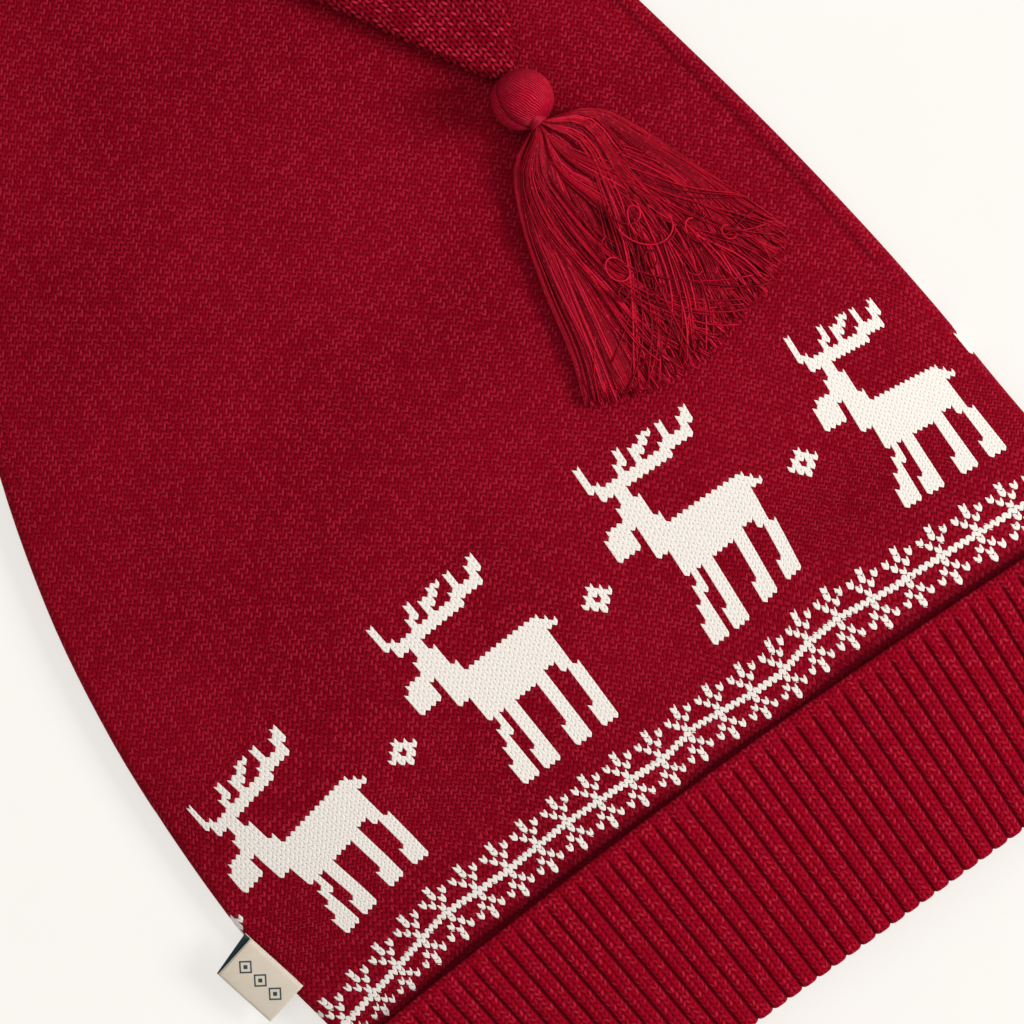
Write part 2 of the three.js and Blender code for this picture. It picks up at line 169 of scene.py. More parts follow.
# %% Camera
TURN = math.radians(-35.85)
VIEW_ACROSS = 0.2304
LENS = 150
SENSOR = 36
camera_data = bpy.data.cameras.new("camera")
camera_data.lens = LENS
camera_data.sensor_width = SENSOR
camera_data.clip_end = 20
camera = bpy.data.objects.new("camera", camera_data)
bpy.context.collection.objects.link(camera)
view_middle = to_scene([-5.0, 77.2, 10])
camera.location = (view_middle[0], view_middle[1], view_middle[2] + VIEW_ACROSS * LENS / SENSOR)
camera.rotation_euler = (0, 0, TURN)
bpy.context.scene.camera = camera
print("camera height, m:", round(camera.location.z, 3))

# %% [markdown]
# A photographer lights such a cap with one large soft box at the side and a bright white room. The
# soft box stands to the right of the picture, so the tassel and the flap throw soft shadows to the
# left, and the room's light keeps those shadows open.

# %% Light and floor
right = np.array([math.cos(TURN), math.sin(TURN), 0])
up = np.array([-math.sin(TURN), math.cos(TURN), 0])


def soft_box(name, place, size, power, colour):
    """A square lamp, placed from the view's middle in metres: right, up the picture, and high."""
    lamp = bpy.data.lights.new(name, "AREA")
    lamp.shape = "RECTANGLE"
    lamp.size = size
    lamp.size_y = size
    lamp.energy = power
    lamp.color = colour
    holder = bpy.data.objects.new(name, lamp)
    bpy.context.collection.objects.link(holder)
    spot = view_middle + place[0] * right + place[1] * up + [0, 0, place[2]]
    holder.location = spot
    aim = Vector(view_middle - spot)
    holder.rotation_euler = aim.to_track_quat("-Z", "Y").to_euler()


soft_box("soft_box_key", (2.3, 0.15, 1.35), 1.0, 76, (1, 0.99, 0.965))
soft_box("soft_box_top", (-0.5, 0.4, 2.6), 2.0, 21, (1, 0.99, 0.975))
world = bpy.data.worlds.new("room")
world.use_nodes = True
world.node_tree.nodes["Background"].inputs["Color"].default_value = (1, 0.985, 0.965, 1)
world.node_tree.nodes["Background"].inputs["Strength"].default_value = 0.4
bpy.context.scene.world = world
bpy.context.scene.view_settings.view_transform = "Standard"

bpy.ops.object.select_all(action="DESELECT")
bpy.ops.mesh.primitive_plane_add(size=12, location=(0, 0, 0))
floor = bpy.context.object
floor.name = "floor"

# %% [markdown]
# A finish is a small network of shader nodes. Writing it as arithmetic reads better than wiring it by
# hand, so a Wire stands for one socket, and adding or multiplying wires adds the Math nodes.

# %% A wire between shader nodes
class Wire:
    """One output of a shader node; Python's operators on it add Math nodes."""

    def __init__(self, finish, socket):
        self.finish = finish
        self.socket = socket

    def __add__(self, other):
        return self.finish.maths("ADD", self, other)

    __radd__ = __add__

    def __sub__(self, other):
        return self.finish.maths("SUBTRACT", self, other)

    def __rsub__(self, other):
        return self.finish.maths("SUBTRACT", other, self)

    def __mul__(self, other):
        return self.finish.maths("MULTIPLY", self, other)

    __rmul__ = __mul__

    def __truediv__(self, other):
        return self.finish.maths("DIVIDE", self, other)

    def __pow__(self, other):
        return self.finish.maths("POWER", self, other)

    def __abs__(self):
        return self.finish.maths("ABSOLUTE", self)


# %% [markdown]
# A Finish is one material. Its node method adds any node with its settings and inputs, and the short
# methods after it are the few nodes that this cap's knitting, thread and tape need.

# %% A finish made of nodes
class Finish:
    """A material whose nodes are added one call at a time."""

    def __init__(self, name):
        self.material = bpy.data.materials.new(name)
        self.material.use_nodes = True
        self.tree = self.material.node_tree
        self.tree.nodes.clear()

    def node(self, kind, settings=None, inputs=None, out=0):
        made = self.tree.nodes.new(kind)
        for key, value in (settings or {}).items():
            setattr(made, key, value)
        for key, value in (inputs or {}).items():
            socket = made.inputs[key]
            if isinstance(value, Wire):
                self.tree.links.new(value.socket, socket)
            else:
                socket.default_value = value
        return Wire(self, made.outputs[out])

    def maths(self, operation, *values):
        return self.node("ShaderNodeMath", {"operation": operation}, dict(enumerate(values)))

    def frac(self, value):
        return self.maths("FRACT", value)

    def clamp(self, value):
        settings = {"operation": "ADD", "use_clamp": True}
        return self.node("ShaderNodeMath", settings, {0: value, 1: 0.0})

    def ramp(self, value, low, high):
        """0 below low, 1 above high, and a soft step between."""
        settings = {"interpolation_type": "SMOOTHSTEP"}
        return self.node("ShaderNodeMapRange", settings, {0: value, 1: low, 2: high})

    def mix(self, factor, one, two):
        settings = {"data_type": "RGBA"}
        return self.node("ShaderNodeMix", settings, {0: factor, 6: one, 7: two}, 2)

    def noise(self, where, scale, detail=2.0):
        return self.node("ShaderNodeTexNoise", {}, {"Vector": where, "Scale": scale, "Detail": detail})

    def scatter(self, across, along):
        """A number by chance for each whole step across and along."""
        spot = self.node("ShaderNodeCombineXYZ", {}, {
            0: self.maths("FLOOR", across), 1: self.maths("FLOOR", along), 2: 0.5,
        })
        return self.node("ShaderNodeTexWhiteNoise", {}, {"Vector": spot})

    def parts(self, vector):
        """The X, Y and Z of a vector, each as a wire."""
        split = self.node("ShaderNodeSeparateXYZ", {}, {0: vector}).socket.node
        return [Wire(self, output) for output in split.outputs]

    def place(self):
        """Object coordinates, which are the scene's metres on every piece."""
        return self.node("ShaderNodeTexCoord", out=3)

    def uv(self, name):
        return self.node("ShaderNodeUVMap", {"uv_map": name})

    def attribute(self, name):
        return self.node("ShaderNodeVertexColor", {"layer_name": name})

    def stretch(self, vector, scale):
        return self.node("ShaderNodeVectorMath", {"operation": "MULTIPLY"}, {0: vector, 1: scale})

    def close(self, colour, roughness, height, depth, **constants):
        """The surface itself: colour, roughness and a bump from a height in metres."""
        bump = self.node("ShaderNodeBump", {}, {"Height": height, "Distance": depth, "Strength": 1.0})
        inputs = {"Base Color": colour, "Roughness": roughness, "Normal": bump}
        inputs.update(constants)
        shader = self.node("ShaderNodeBsdfPrincipled", {}, inputs)
        output = self.tree.nodes.new("ShaderNodeOutputMaterial")
        self.tree.links.new(shader.socket, output.inputs["Surface"])
        return self.material


# %% Colours and profiles for the finishes
def srgb(red, green, blue):
    """A colour as a paint chart gives it, 0 to 255, as the light that a shader counts in."""
    light = []
    for part in (red, green, blue):
        share = part / 255
        light.append(share / 12.92 if share < 0.04045 else ((share + 0.055) / 1.055) ** 2.4)
    return (*light, 1)


def rounded(share):
    """The height of a round yarn across its width: 0 at shares 0 and 1, and 1 in the middle."""
    return 1 - abs(2 * share - 1) ** 2.0


FUZZ_SCALE = 2600.0
WOBBLE_SCALE = 420.0
print("white as light:", srgb(255, 255, 255))

# %% [markdown]
# The cap lies on a sheet of pale studio paper. It could be lit by the lamps alone, but the photograph
# has almost no shadow, so the paper also gives some light of its own, which fills the shadows.

# %% Floor finish
paper = Finish("studio_paper")
grain = paper.noise(paper.place(), 40.0)
pale = paper.mix(grain, srgb(138, 136, 133), srgb(142, 140, 137))
own_light = {"Emission Color": srgb(250, 247, 242), "Emission Strength": 0.68}
floor.data.materials.append(paper.close(pale, 0.9, grain, 0.0001, **own_light))
print("floor finish:", floor.data.materials[0].name)

# %% [markdown]
# The crown is a tube of stocking stitch. On the real cap every stitch is a small V of yarn, and the
# picture in it changes colour stitch by stitch. A flat grid stands for the fabric laid out: each
# column is half a stitch and each row one course. Every second line of the grid is pulled down, which
# makes the rows of Vs, and so the pale motifs get the real sawtooth edges of knitting.

# %% Chart of the two-colour knitting
REINDEER = """
..X.....................
..X.....X...XX.X...X....
..X.....X.XXX..X..XX....
..X....XX.XX...X..XX....
..XX...X..X...XXXXX.....
...XXXXXXXXXXXXXXXX.....
...XXXXXXXXXXXX.........
.....XX.................
.....XX.................
....XXXX................
....XXXX................
.XXXXXXX................
XXXXXXXX................
XXXX.XXXX...............
XXXX.XXXX...............
XXXX.XXXXXXXXXXXXXXXXX..
.....XXXXXXXXXXXXXXXXXX.
.....XXXXXXXXXXXXXXXXXXX
.....XXXXXXXXXXXXXXXXX..
.......XXXXXXXXXXXXXXX..
.......XXXXXXXXXXXXXXX..
.......XXXXXXXXXXXXXXX..
.......XXXXXXXXXXXXXXX..
.......XXXXXXXXXXX..XX..
........X.XX....XX..XX..
........X.XX....XX...XX.
.......XX.XX....XX...XX.
.......XX.XX....XX...XX.
.......X..XX....XX...XX.
......XX..XX....XX...XX.
......XX..XX....XX...XX.
......XX..XX....XX...XX.
.....XXX.XXX...XXX..XXX.
.....XXX.XXX...XXX..XXX.
.....XXX.XXX...XXX..XXX.
.....XXX.XXX...XXX..XXX.
""".split()
DIAMOND = """
..X..
.XXX.
XX.XX
.XXX.
..X..
""".split()
SNOWFLAKE = """
X.....
X.X.X.
.X...X
X.....
XXXXXX
X.....
.X...X
X.X.X.
X.....
""".split()
REPEAT = 36
DIAMOND_FIRST_STITCH = 28
DIAMOND_FIRST_ROW = 16
SNOWFLAKE_FIRST_ROW = 40
CHART_ROWS = 58


def drawn(chart, row, stitch):
    """Whether a chart has a pale stitch there, counted from its upper left corner."""
    return 0 <= row < len(chart) and 0 <= stitch < len(chart[0]) and chart[row][stitch] == "X"


def is_pale(stitch, row):
    """Whether the stitch is knitted in the pale yarn."""
    place = stitch % REPEAT
    return (
        drawn(REINDEER, row, place)
        or drawn(DIAMOND, row - DIAMOND_FIRST_ROW, place - DIAMOND_FIRST_STITCH)
        or drawn(SNOWFLAKE, row - SNOWFLAKE_FIRST_ROW, stitch % len(SNOWFLAKE[0]))
    )


pale_count = sum(is_pale(stitch, row) for stitch in range(REPEAT) for row in range(CHART_ROWS))
print("pale stitches in one repeat:", pale_count)

# %% [markdown]
# The fabric has to lie on the flattened tube: over the front, round the edge, under the back and
# round the other edge. A place round the tube is one number: 0 to 1 for the left edge, 1 to 2 for the
# front, 2 to 3 for the right edge, 3 to 4 for the back. The stitches are then spread by length.

# %% Places round the tube
FRONT_STITCHES = 136
BACK_STITCHES = 144
FIRST_STITCH = -38
COLUMNS = 2 * (FRONT_STITCHES + BACK_STITCHES)
SEAM_INSET = 4.0
QUARTER_STEPS = 400
FINE_PLACES = np.linspace(0, 4, 4 * QUARTER_STEPS + 1)
FRONT_PLACES = slice(QUARTER_STEPS, 2 * QUARTER_STEPS + 1)


def round_tube(section, place, inset):
    """The x and z of places round a flattened tube, as deep under its face as inset says."""
    radius = section["edge"] / 2
    flat = section["half"] - radius
    centre = section["bottom"] + radius
    part = np.clip(np.floor(place), 0, 3)
    share = place - part
    across = np.where(part == 1, 2 * share - 1, 1 - 2 * share)
    x_face = section["middle"] + flat * across
    top = section["bottom"] + section["edge"] + swell_at(section, x_face) - inset
    side = np.where(part == 0, -1.0, 1.0)
    turn = np.where(part == 0, -np.pi / 2 + np.pi * share, np.pi / 2 - np.pi * share)
    x_edge = section["middle"] + side * (flat + (radius - inset) * np.cos(turn))
    z_edge = centre + (radius - inset) * np.sin(turn)
    on_face = (part == 1) | (part == 3)
    x = np.where(on_face, x_face, x_edge)
    z = np.where(part == 1, top, np.where(part == 3, section["bottom"] + inset, z_edge))
    return x, z


def measure_round(section):
    """The x of the fine places round a section, and the length of the way to each."""
    x, z = round_tube(section, FINE_PLACES, 0)
    return x, np.concatenate([[0], np.cumsum(np.hypot(np.diff(x), np.diff(z)))])


def spread(section, front_x=None):
    """Places of the columns round one section, and how far each lies from a side seam."""
    x, length = measure_round(section)
    whole_way = length[-1]
    half = float(section["half"])
    if front_x is None:
        reach = half - min(SEAM_INSET, 0.35 * half)
        front_x = float(section["middle"]) + np.linspace(-1, 1, 2 * FRONT_STITCHES + 1) * reach
    on_front = np.interp(front_x, x[FRONT_PLACES], length[FRONT_PLACES])
    left_seam, right_seam = on_front[0], on_front[-1]
    on_back = np.linspace(right_seam, whole_way + left_seam, 2 * BACK_STITCHES + 1)[1:]
    run = np.concatenate([on_front, on_back])
    place = np.interp(np.where(run > whole_way, run - whole_way, run), length, FINE_PLACES)
    from_shade_line = np.minimum(np.abs(run - left_seam), np.abs(run - right_seam))
    from_shade_line = np.minimum(from_shade_line, np.abs(run - left_seam - whole_way))
    return place, from_shade_line


print("columns round the tube:", COLUMNS, "of half a stitch each")

# %% [markdown]
# The knitting isn't even: the stitches close up towards the cuff and the courses bow down at both
# sides. An even grid would look printed, so a few places were measured in the photograph, in
# its pixels, and everything between them is worked out.

# %% How the courses lie
PIXEL = 0.225
VEE = 0.77
COURSE = 5.8 * PIXEL
VEE_SHARE = VEE / COURSE
ROW_KEYS = [0, 5, 15, 35, 40, 44, 48, 57]
ROW_HEIGHTS = [341.5, 312, 248, 125, 92.5, 63.5, 36, -27]
chart_lines = np.interp(np.arange(CHART_ROWS), ROW_KEYS, ROW_HEIGHTS) * PIXEL
chart_top = chart_lines[0]

# The courses sink from the bow's middle to its ends by a depth that changes along the cap.
BOW_LINES = [18, 250, 800, 1180]
BOW_DEPTHS = [18, 39, 39, 0]
BOW_MIDDLE = -24
BOW_REACH = 468

# Where the cloth lies unevenly, the courses ride up by so many pixels.
RIDE_ACROSS = [-460, -400, -315, -240, -160, -85, -43, 0, 63, 100, 141, 178, 240]
RIDE_ALONG = [15, 55, 115, 215, 335, 480]
RIDE_EASE = 300
RIDE = [
    [-4, -3, 2, 0, 1, 0, -1, 2, 0, -1, 3, 4, 3],
    [-14, -7, 7, 2, 4, 0, -3, 5, -1, -2, 9, 12, 8],
    [-6, 0, 9, 5, 1, 0, 0, 0, 1, 3, 11, 18, 12],
    [-18, -12, -5, -4, -1, 0, -1, -2, -1, 0, 2, 3, -1],
    [-14, -10, -6, -3, 0, 0, 0, 0, 2, 2, 2, 3, 3],
    [-10, -8, -5, -2, 0, 0, 0, 0, 0, 0, 0, 0, 0],
]


def bowed(line, x):
    """The height of a course at x, both in millimetres."""
    level = line / PIXEL
    across = x / PIXEL
    sink = np.interp(level, BOW_LINES, BOW_DEPTHS) * ((across - BOW_MIDDLE) / BOW_REACH) ** 2
    at_lines = [np.interp(across, RIDE_ACROSS, row) for row in RIDE]
    step = np.interp(level, RIDE_ALONG, range(len(RIDE)))
    low = min(int(step), len(RIDE) - 2)
    ride = at_lines[low] + (at_lines[low + 1] - at_lines[low]) * (step - low)
    fade = np.clip(1 - (level - RIDE_ALONG[-1]) / RIDE_EASE, 0, 1)
    return line + (ride * fade - sink) * PIXEL


print("the chart's lowest and highest course, mm:", chart_lines[-1], chart_top)

# %% How the stitches lie across the front
STITCH_LINES = [55, 115, 250, 340]
STITCH_WIDTHS = [0.897, 0.938, 1.0, 1.04]
STITCH_SHIFTS = [-5.6, -1.6, 0.0, 0.0]
STITCH_START = -215.5
STITCH_PITCH = 6.9457
LEFT_SEAM_INSET = 3.0
FIRST_SEEN = -26
LAST_SEEN = 62
front_stitches = FIRST_STITCH + np.arange(2 * FRONT_STITCHES + 1) / 2


def front_places(line):
    """Where the front's half stitches lie across the cap at a height along it, in mm."""
    level = line / PIXEL
    width = np.interp(level, STITCH_LINES, STITCH_WIDTHS)
    shift = np.interp(level, STITCH_LINES, STITCH_SHIFTS)
    x = ((STITCH_START + STITCH_PITCH * front_stitches) * width + shift) * PIXEL
    section = body_section(line)
    left_seam = float(section["middle"] - section["half"]) + LEFT_SEAM_INSET
    right_seam = float(section["middle"] + section["half"]) - SEAM_INSET
    left_ease = np.clip((FIRST_SEEN - front_stitches) / 12, 0, 1) ** 2
    right_ease = np.clip((front_stitches - LAST_SEEN) / 36, 0, 1) ** 1.5
    return x + max(left_seam - x[0], 0) * left_ease + (right_seam - x[-1]) * right_ease


print("a stitch across, mm:", round(STITCH_PITCH * PIXEL, 3), "a course:", round(COURSE, 3))

# %% [markdown]
# Now the rows of the grid are listed in the order that a finger would follow: up the outside from the
# mouth, round the fold, down the flap to the tip, and back again on the inside, one wall thickness
# in. The first and the last row meet at the mouth, so the fabric becomes one closed shell. A flat
# sheet with a Solidify modifier would do for a plain tube, but would tear the tight fold.

# %% Rows of the body
NO_CHART = -1
PLAIN_STITCH = 1.68
# Painted shade: where it lies along the cuff's upper edge, and how it starts and fades at the side seams.
CUFF_SHADE_LINE = 4.8
SEAM_SHADE_START = 0.55
SEAM_SHADE_FADE = 4
# Painted shade darkens the crown beside the side seams. Low on the cap both side seams have turned to
# the back, so their painted shade is left out up to these lines, left and right.
SEAM_SHADE_HIDDEN_UP_TO = (150.0, 70.0)
grid = []
stitch_of = np.concatenate([
    front_stitches,
    FIRST_STITCH - BACK_STITCHES + np.arange(1, 2 * BACK_STITCHES + 1) / 2,
])
zigzag = (np.arange(COLUMNS + 1) % 2) * 1.0
band_middle = float(body_section(chart_top)["middle"])


def add_row(x, y, z, wale, course, from_shade_line, openness, chart=NO_CHART):
    """One row of the grid: its places, and the numbers that the finish reads there."""
    row = {"x": x, "y": y, "z": z, "wale": wale, "from_shade_line": from_shade_line, "chart": chart}
    row["course"] = np.broadcast_to(course, x.shape)
    row["openness"] = np.full(x.shape, openness)
    grid.append(row)


def body_row(line, inset, chart=NO_CHART, pull=0.0):
    """A row round the body. In the charted band each column is half a counted stitch."""
    charted = chart > NO_CHART
    flat = body_section(line)
    place, from_shade_line = spread(flat, front_places(line) if charted else None)
    x_flat, _ = round_tube(flat, place, 0)
    y = bowed(line, x_flat) - pull * zigzag
    section = body_section(y)
    x, z = round_tube(section, place, inset)
    hidden = np.clip(1.25 - line / np.where(x_flat < 0, *SEAM_SHADE_HIDDEN_UP_TO), 0, 1)
    from_shade_line = from_shade_line + SEAM_SHADE_START + SEAM_SHADE_FADE * hidden
    if charted:
        from_shade_line = np.minimum(from_shade_line, max(line - CUFF_SHADE_LINE, 0) * 0.6)
        wale = stitch_of
        course = VEE_SHARE * (1 - zigzag) - chart
    else:
        wale = (x - 0.5 * (section["middle"] - band_middle)) / PLAIN_STITCH
        course = (line - chart_top) / COURSE + VEE_SHARE
    add_row(x, y, z, wale, course, from_shade_line, 0.0, chart)


print("columns in a row:", len(stitch_of) - 1)


# %% Rows of the fold and of the folded tip
FLAP_STITCH = 2.0
FLAP_COURSE = 1.5
FOLD_COURSES = 9
LAID_DOWN = 0.4


def fold_row(turn, inset):
    """A row on the fold: turn is 0 where the body ends and 1 where the flap starts."""
    section = body_section(float(CUFF_TO_FOLD))
    place, from_shade_line = spread(section)
    x, z = round_tube(section, place, inset)
    arm = BEND_HEIGHT - z
    y = CUFF_TO_FOLD + arm * math.sin(math.pi * turn)
    height = BEND_HEIGHT - arm * math.cos(math.pi * turn)
    wale = (x - section["middle"]) / FLAP_STITCH
    add_row(x, y, height, wale, (CUFF_TO_FOLD + FOLD_COURSES * turn) / FLAP_COURSE, from_shade_line, turn)


def flap_row(share, inset, pole=False):
    """A row of the folded tip, which lies face down on the body. A pole draws it to one point."""
    section = flap_section(share)
    along = CUFF_TO_FOLD - share * FOLD_TO_TIP
    place, from_shade_line = spread(section)
    x, z = round_tube(section, place, inset)
    ease = np.clip(share / LAID_DOWN, 0, 1)
    gap = 2 * FOLD_INNER_RADIUS + (LAY_GAP - 2 * FOLD_INNER_RADIUS) * ease * ease * (3 - 2 * ease)
    thick = section["edge"] + swell_at(section, x)
    y = np.full(x.shape, along)
    height = front_height(x, y) + gap + thick - z
    if pole:
        x = np.full(x.shape, x.mean())
        height = np.full(x.shape, height.mean())
    wale = (x - section["middle"]) / FLAP_STITCH
    course = (CUFF_TO_FOLD + FOLD_COURSES + share * FOLD_TO_TIP) / FLAP_COURSE
    add_row(x, y, height, wale, course, from_shade_line, 1.0)


print("the folded tip lies down at", LAID_DOWN * FOLD_TO_TIP, "mm from the fold")

# %% [markdown]
# The rows lie closest where the shape or the picture needs them: one for each course in the charted
# band, and few on the inside, which is seen only through the mouth.

# %% Order of the rows
MOUTH = -6.0
MOUTH_EDGE = MOUTH + 0.02
PLAIN_ROWS = 36
FOLD_ROWS = 10
FLAP_ROWS = 20
TIP_SHARES = [0.94, 0.97, 0.985, 1.0]
INNER_FLAP_SHARES = [0.86, 0.78, 0.65, 0.5, 0.35, 0.2, 0.08]
INNER_FOLD_ROWS = 6
INNER_BODY_ROWS = 16

body_row(MOUTH_EDGE, KNIT_WALL / 2)
for chart_row in range(CHART_ROWS - 1, -1, -1):
    body_row(chart_lines[chart_row], 0, chart_row, VEE)
for line in np.linspace(chart_top, CUFF_TO_FOLD, PLAIN_ROWS)[1:-1]:
    body_row(line, 0)
for turn in np.linspace(0, 1, FOLD_ROWS):
    fold_row(turn, 0)
for share in list(np.linspace(0, 0.9, FLAP_ROWS)[1:]) + TIP_SHARES:
    flap_row(share, 0)
flap_row(1.0, 0, pole=True)
flap_row(0.87, KNIT_WALL, pole=True)
for share in INNER_FLAP_SHARES:
    flap_row(share, KNIT_WALL)
for turn in np.linspace(1, 0, INNER_FOLD_ROWS):
    fold_row(turn, KNIT_WALL)
for line in np.linspace(CUFF_TO_FOLD, MOUTH, INNER_BODY_ROWS)[1:]:
    body_row(line, KNIT_WALL)
body_row(MOUTH_EDGE, KNIT_WALL / 2)
print("rows of the crown:", len(grid), "columns:", COLUMNS)

# %% [markdown]
# A grid primitive gives the fabric its columns and rows. Its points are moved in code, because no
# operator can lay a hundred and fifty rows on a folded tube. The stitch numbers are kept as the UV map,
# and the pale yarn, the painted shade beside the seams and along the cuff's edge, and the open flap as a
# colour attribute, so the finish follows the fabric.

# %% Helpers for fabric laid from a grid
def stacked(rows, name):
    """One value of every row, as a table with a line for each row."""
    return np.stack([row[name] for row in rows])


def lay_grid(name, rows):
    """A grid whose points go where the rows say, with its wrap still open."""
    places = np.stack([stacked(rows, axis) for axis in "xyz"], axis=2)
    down, across = places.shape[0] - 1, places.shape[1] - 1
    bpy.ops.object.select_all(action="DESELECT")
    bpy.ops.mesh.primitive_grid_add(x_subdivisions=across, y_subdivisions=down, size=1)
    piece = bpy.context.object
    piece.name = name
    piece.data.name = name
    piece.data.vertices.foreach_set("co", to_scene(places).reshape(-1))
    piece.location = (0, 0, 0)
    return piece


def corner_places(piece, rows):
    """The row and the column of each corner of each face."""
    corner = np.empty(len(piece.data.loops), int)
    piece.data.loops.foreach_get("vertex_index", corner)
    across = len(rows[0]["x"])
    return corner // across, corner % across


def fill_uv(piece, name, across, along):
    """Names the primitive's UV map and writes two numbers to each corner of each face."""
    layer = piece.data.uv_layers[0]
    layer.name = name
    layer.data.foreach_set("uv", np.stack([across, along], axis=1).reshape(-1))


def weld(piece):
    """Closes the wrap of a laid grid, drops what has no area, and points the faces outwards."""
    bpy.ops.object.select_all(action="DESELECT")
    piece.select_set(True)
    bpy.context.view_layer.objects.active = piece
    bpy.ops.object.mode_set(mode="EDIT")
    bpy.ops.mesh.select_all(action="SELECT")
    bpy.ops.mesh.remove_doubles(threshold=0.000004)
    bpy.ops.mesh.delete_loose(use_verts=True, use_edges=True, use_faces=False)
    bpy.ops.mesh.select_all(action="SELECT")
    bpy.ops.mesh.normals_make_consistent(inside=False)
    bpy.ops.object.mode_set(mode="OBJECT")
    bpy.ops.object.shade_smooth()


def triangles(piece):
    return sum(len(face.vertices) - 2 for face in piece.data.polygons)


print("helpers for laid fabric are ready")

# %% [markdown]
# Each face of the charted band is one arm of one stitch, so the chart decides face by face which yarn
# it is. The band of snowflakes gets a weaker mark, because its pale yarn is stretched thinner there.

# %% Crown mesh and its pale stitches
BAND_MARK = 0.7
crown = lay_grid("knitted_crown", grid)
at_corner = corner_places(crown, grid)
face_row = at_corner[0].reshape(-1, 4).min(axis=1)
face_column = at_corner[1].reshape(-1, 4).min(axis=1)
front_columns = 2 * FRONT_STITCHES
front_face_stitch = FIRST_STITCH + face_column // 2
back_face_stitch = FIRST_STITCH - BACK_STITCHES + (face_column - front_columns) // 2
face_stitch = np.where(face_column < front_columns, front_face_stitch, back_face_stitch)
chart_of = np.array([row["chart"] for row in grid])
face_chart = chart_of[face_row + 1]
in_chart = (chart_of[face_row] > NO_CHART) & (face_chart > NO_CHART)
pale_face = np.zeros(len(face_row))
for face in np.flatnonzero(in_chart):
    if is_pale(int(face_stitch[face]), int(face_chart[face])):
        pale_face[face] = BAND_MARK if face_chart[face] >= SNOWFLAKE_FIRST_ROW else 1.0
print("pale faces:", np.count_nonzero(pale_face))

# %% [markdown]
# In the band the stitch numbers are the chart's own. Outside it they follow the place across the cap,
# and where the front's last column meets the back's first, the numbers start again.

# %% Stitch numbers and marks of the crown
SHADE_LINE_REACH = 1.7
corner_in_chart = np.repeat(in_chart, 4)
starts_back = (at_corner[1] == front_columns) & (np.repeat(face_column, 4) == front_columns)
by_place = [row["wale"] if row["chart"] == NO_CHART else row["x"] / PLAIN_STITCH for row in grid]
wales = np.where(corner_in_chart, stacked(grid, "wale")[at_corner], np.stack(by_place)[at_corner])
wales = np.where(corner_in_chart & starts_back, FIRST_STITCH - BACK_STITCHES, wales)
fill_uv(crown, "stitches", wales, stacked(grid, "course")[at_corner])
# The marks hold the pale yarn, the painted shade beside the side seams and along the cuff's edge, and the
# open flap.
marks = crown.data.color_attributes.new("marks", "FLOAT_COLOR", "CORNER")
mark_values = np.stack([
    np.repeat(pale_face, 4),
    np.clip(1 - stacked(grid, "from_shade_line")[at_corner] / SHADE_LINE_REACH, 0, 1),
    stacked(grid, "openness")[at_corner],
    np.ones(len(wales)),
], axis=1)
marks.data.foreach_set("color", mark_values.reshape(-1))
weld(crown)
print("crown triangles:", triangles(crown))

# %% [markdown]
# The finish draws each stitch from its number: the yarn of a V is high in the middle of its arm and
# sinks to its edges. Stitches as geometry would take millions of faces, so one height makes the bump
# and the painted shade that darkens the hollows instead. On the flap the knitting is stretched over a
# few layers, so its stitches stand open, and their holes are painted dark as shade.

# %% Height of the crown's stitches
knit = Finish("crown_knit")
wale, course, _ = knit.parts(knit.uv("stitches"))
pale_mark, seam_and_cuff_shade, open_mark = knit.parts(knit.attribute("marks"))
where = knit.place()
wobble = knit.noise(where, WOBBLE_SCALE, 1.0) - 0.5
across_stitch = knit.frac(wale + wobble * 0.3)
arm = abs(across_stitch - 0.5) * 2
slant = course - VEE_SHARE * arm + wobble * (0.4 + 0.4 * (1 - open_mark))
apart = knit.clamp(open_mark + pale_mark)
gap_beside = (2 * arm - 1) ** 2.0 * (0.45 + 0.55 * knit.clamp(knit.ramp(arm, 0.4, 0.6) + apart))
across_share = 0.24 + 0.1 * apart + 0.16 * open_mark
along_yarn = rounded(knit.frac(slant)) * (1 - across_share)
stitch_height = knit.clamp((1 - gap_beside) * across_share + along_yarn)
print("height of the stitches wired")

# %% [markdown]
# The red is darkened in the hollows by painted shade and lightened on top of the yarn by painted
# highlights, more so on the right arm of each V, which faces the light. The pale yarn lies over it where
# the chart's mark says so, with painted shade in its own hollows.

# %% Crown finish
fuzz = knit.noise(where, FUZZ_SCALE, 2.0)
patch = knit.noise(where, 24.0, 3.0)
# Painted shade: the red darkens in the stitch hollows, and nearly to black in the open holes of the flap.
hollow_shade_ramp = knit.ramp(stitch_height - 0.26 * open_mark, -0.2, 0.66)
red_painted_shade = knit.mix(open_mark, srgb(82, 0, 13), srgb(18, 0, 3))
red_body = knit.mix(knit.ramp(patch, 0.3, 0.7), srgb(120, 2, 21), srgb(133, 4, 26))
red_painted_highlight = knit.mix(open_mark, srgb(172, 34, 56), srgb(186, 36, 58))
red = knit.mix(hollow_shade_ramp, red_painted_shade, red_body)
red = knit.mix(knit.ramp(fuzz, 0.5, 0.8) * 0.35, red, srgb(84, 0, 13))
chance = knit.scatter(wale * 2, slant)
# Painted highlight: the tops of some stitches turn lighter, more on the right arm of each V, which faces
# the light.
right_arm = knit.ramp(across_stitch, 0.42, 0.58)
painted_glint = knit.ramp(stitch_height, 0.55, 1.0) * knit.ramp(chance, 0.1, 1.0) * (0.75 + 0.5 * right_arm)
red = knit.mix(painted_glint * (0.5 + 0.3 * open_mark), red, red_painted_highlight)

in_band = 1 - knit.ramp(pale_mark, 0.8, 0.9)
covered = knit.ramp(stitch_height + wobble * 0.2, 0.24, 0.42)
pale_share = knit.ramp(pale_mark, 0.3, 0.5) * (1 - in_band * (1 - covered))
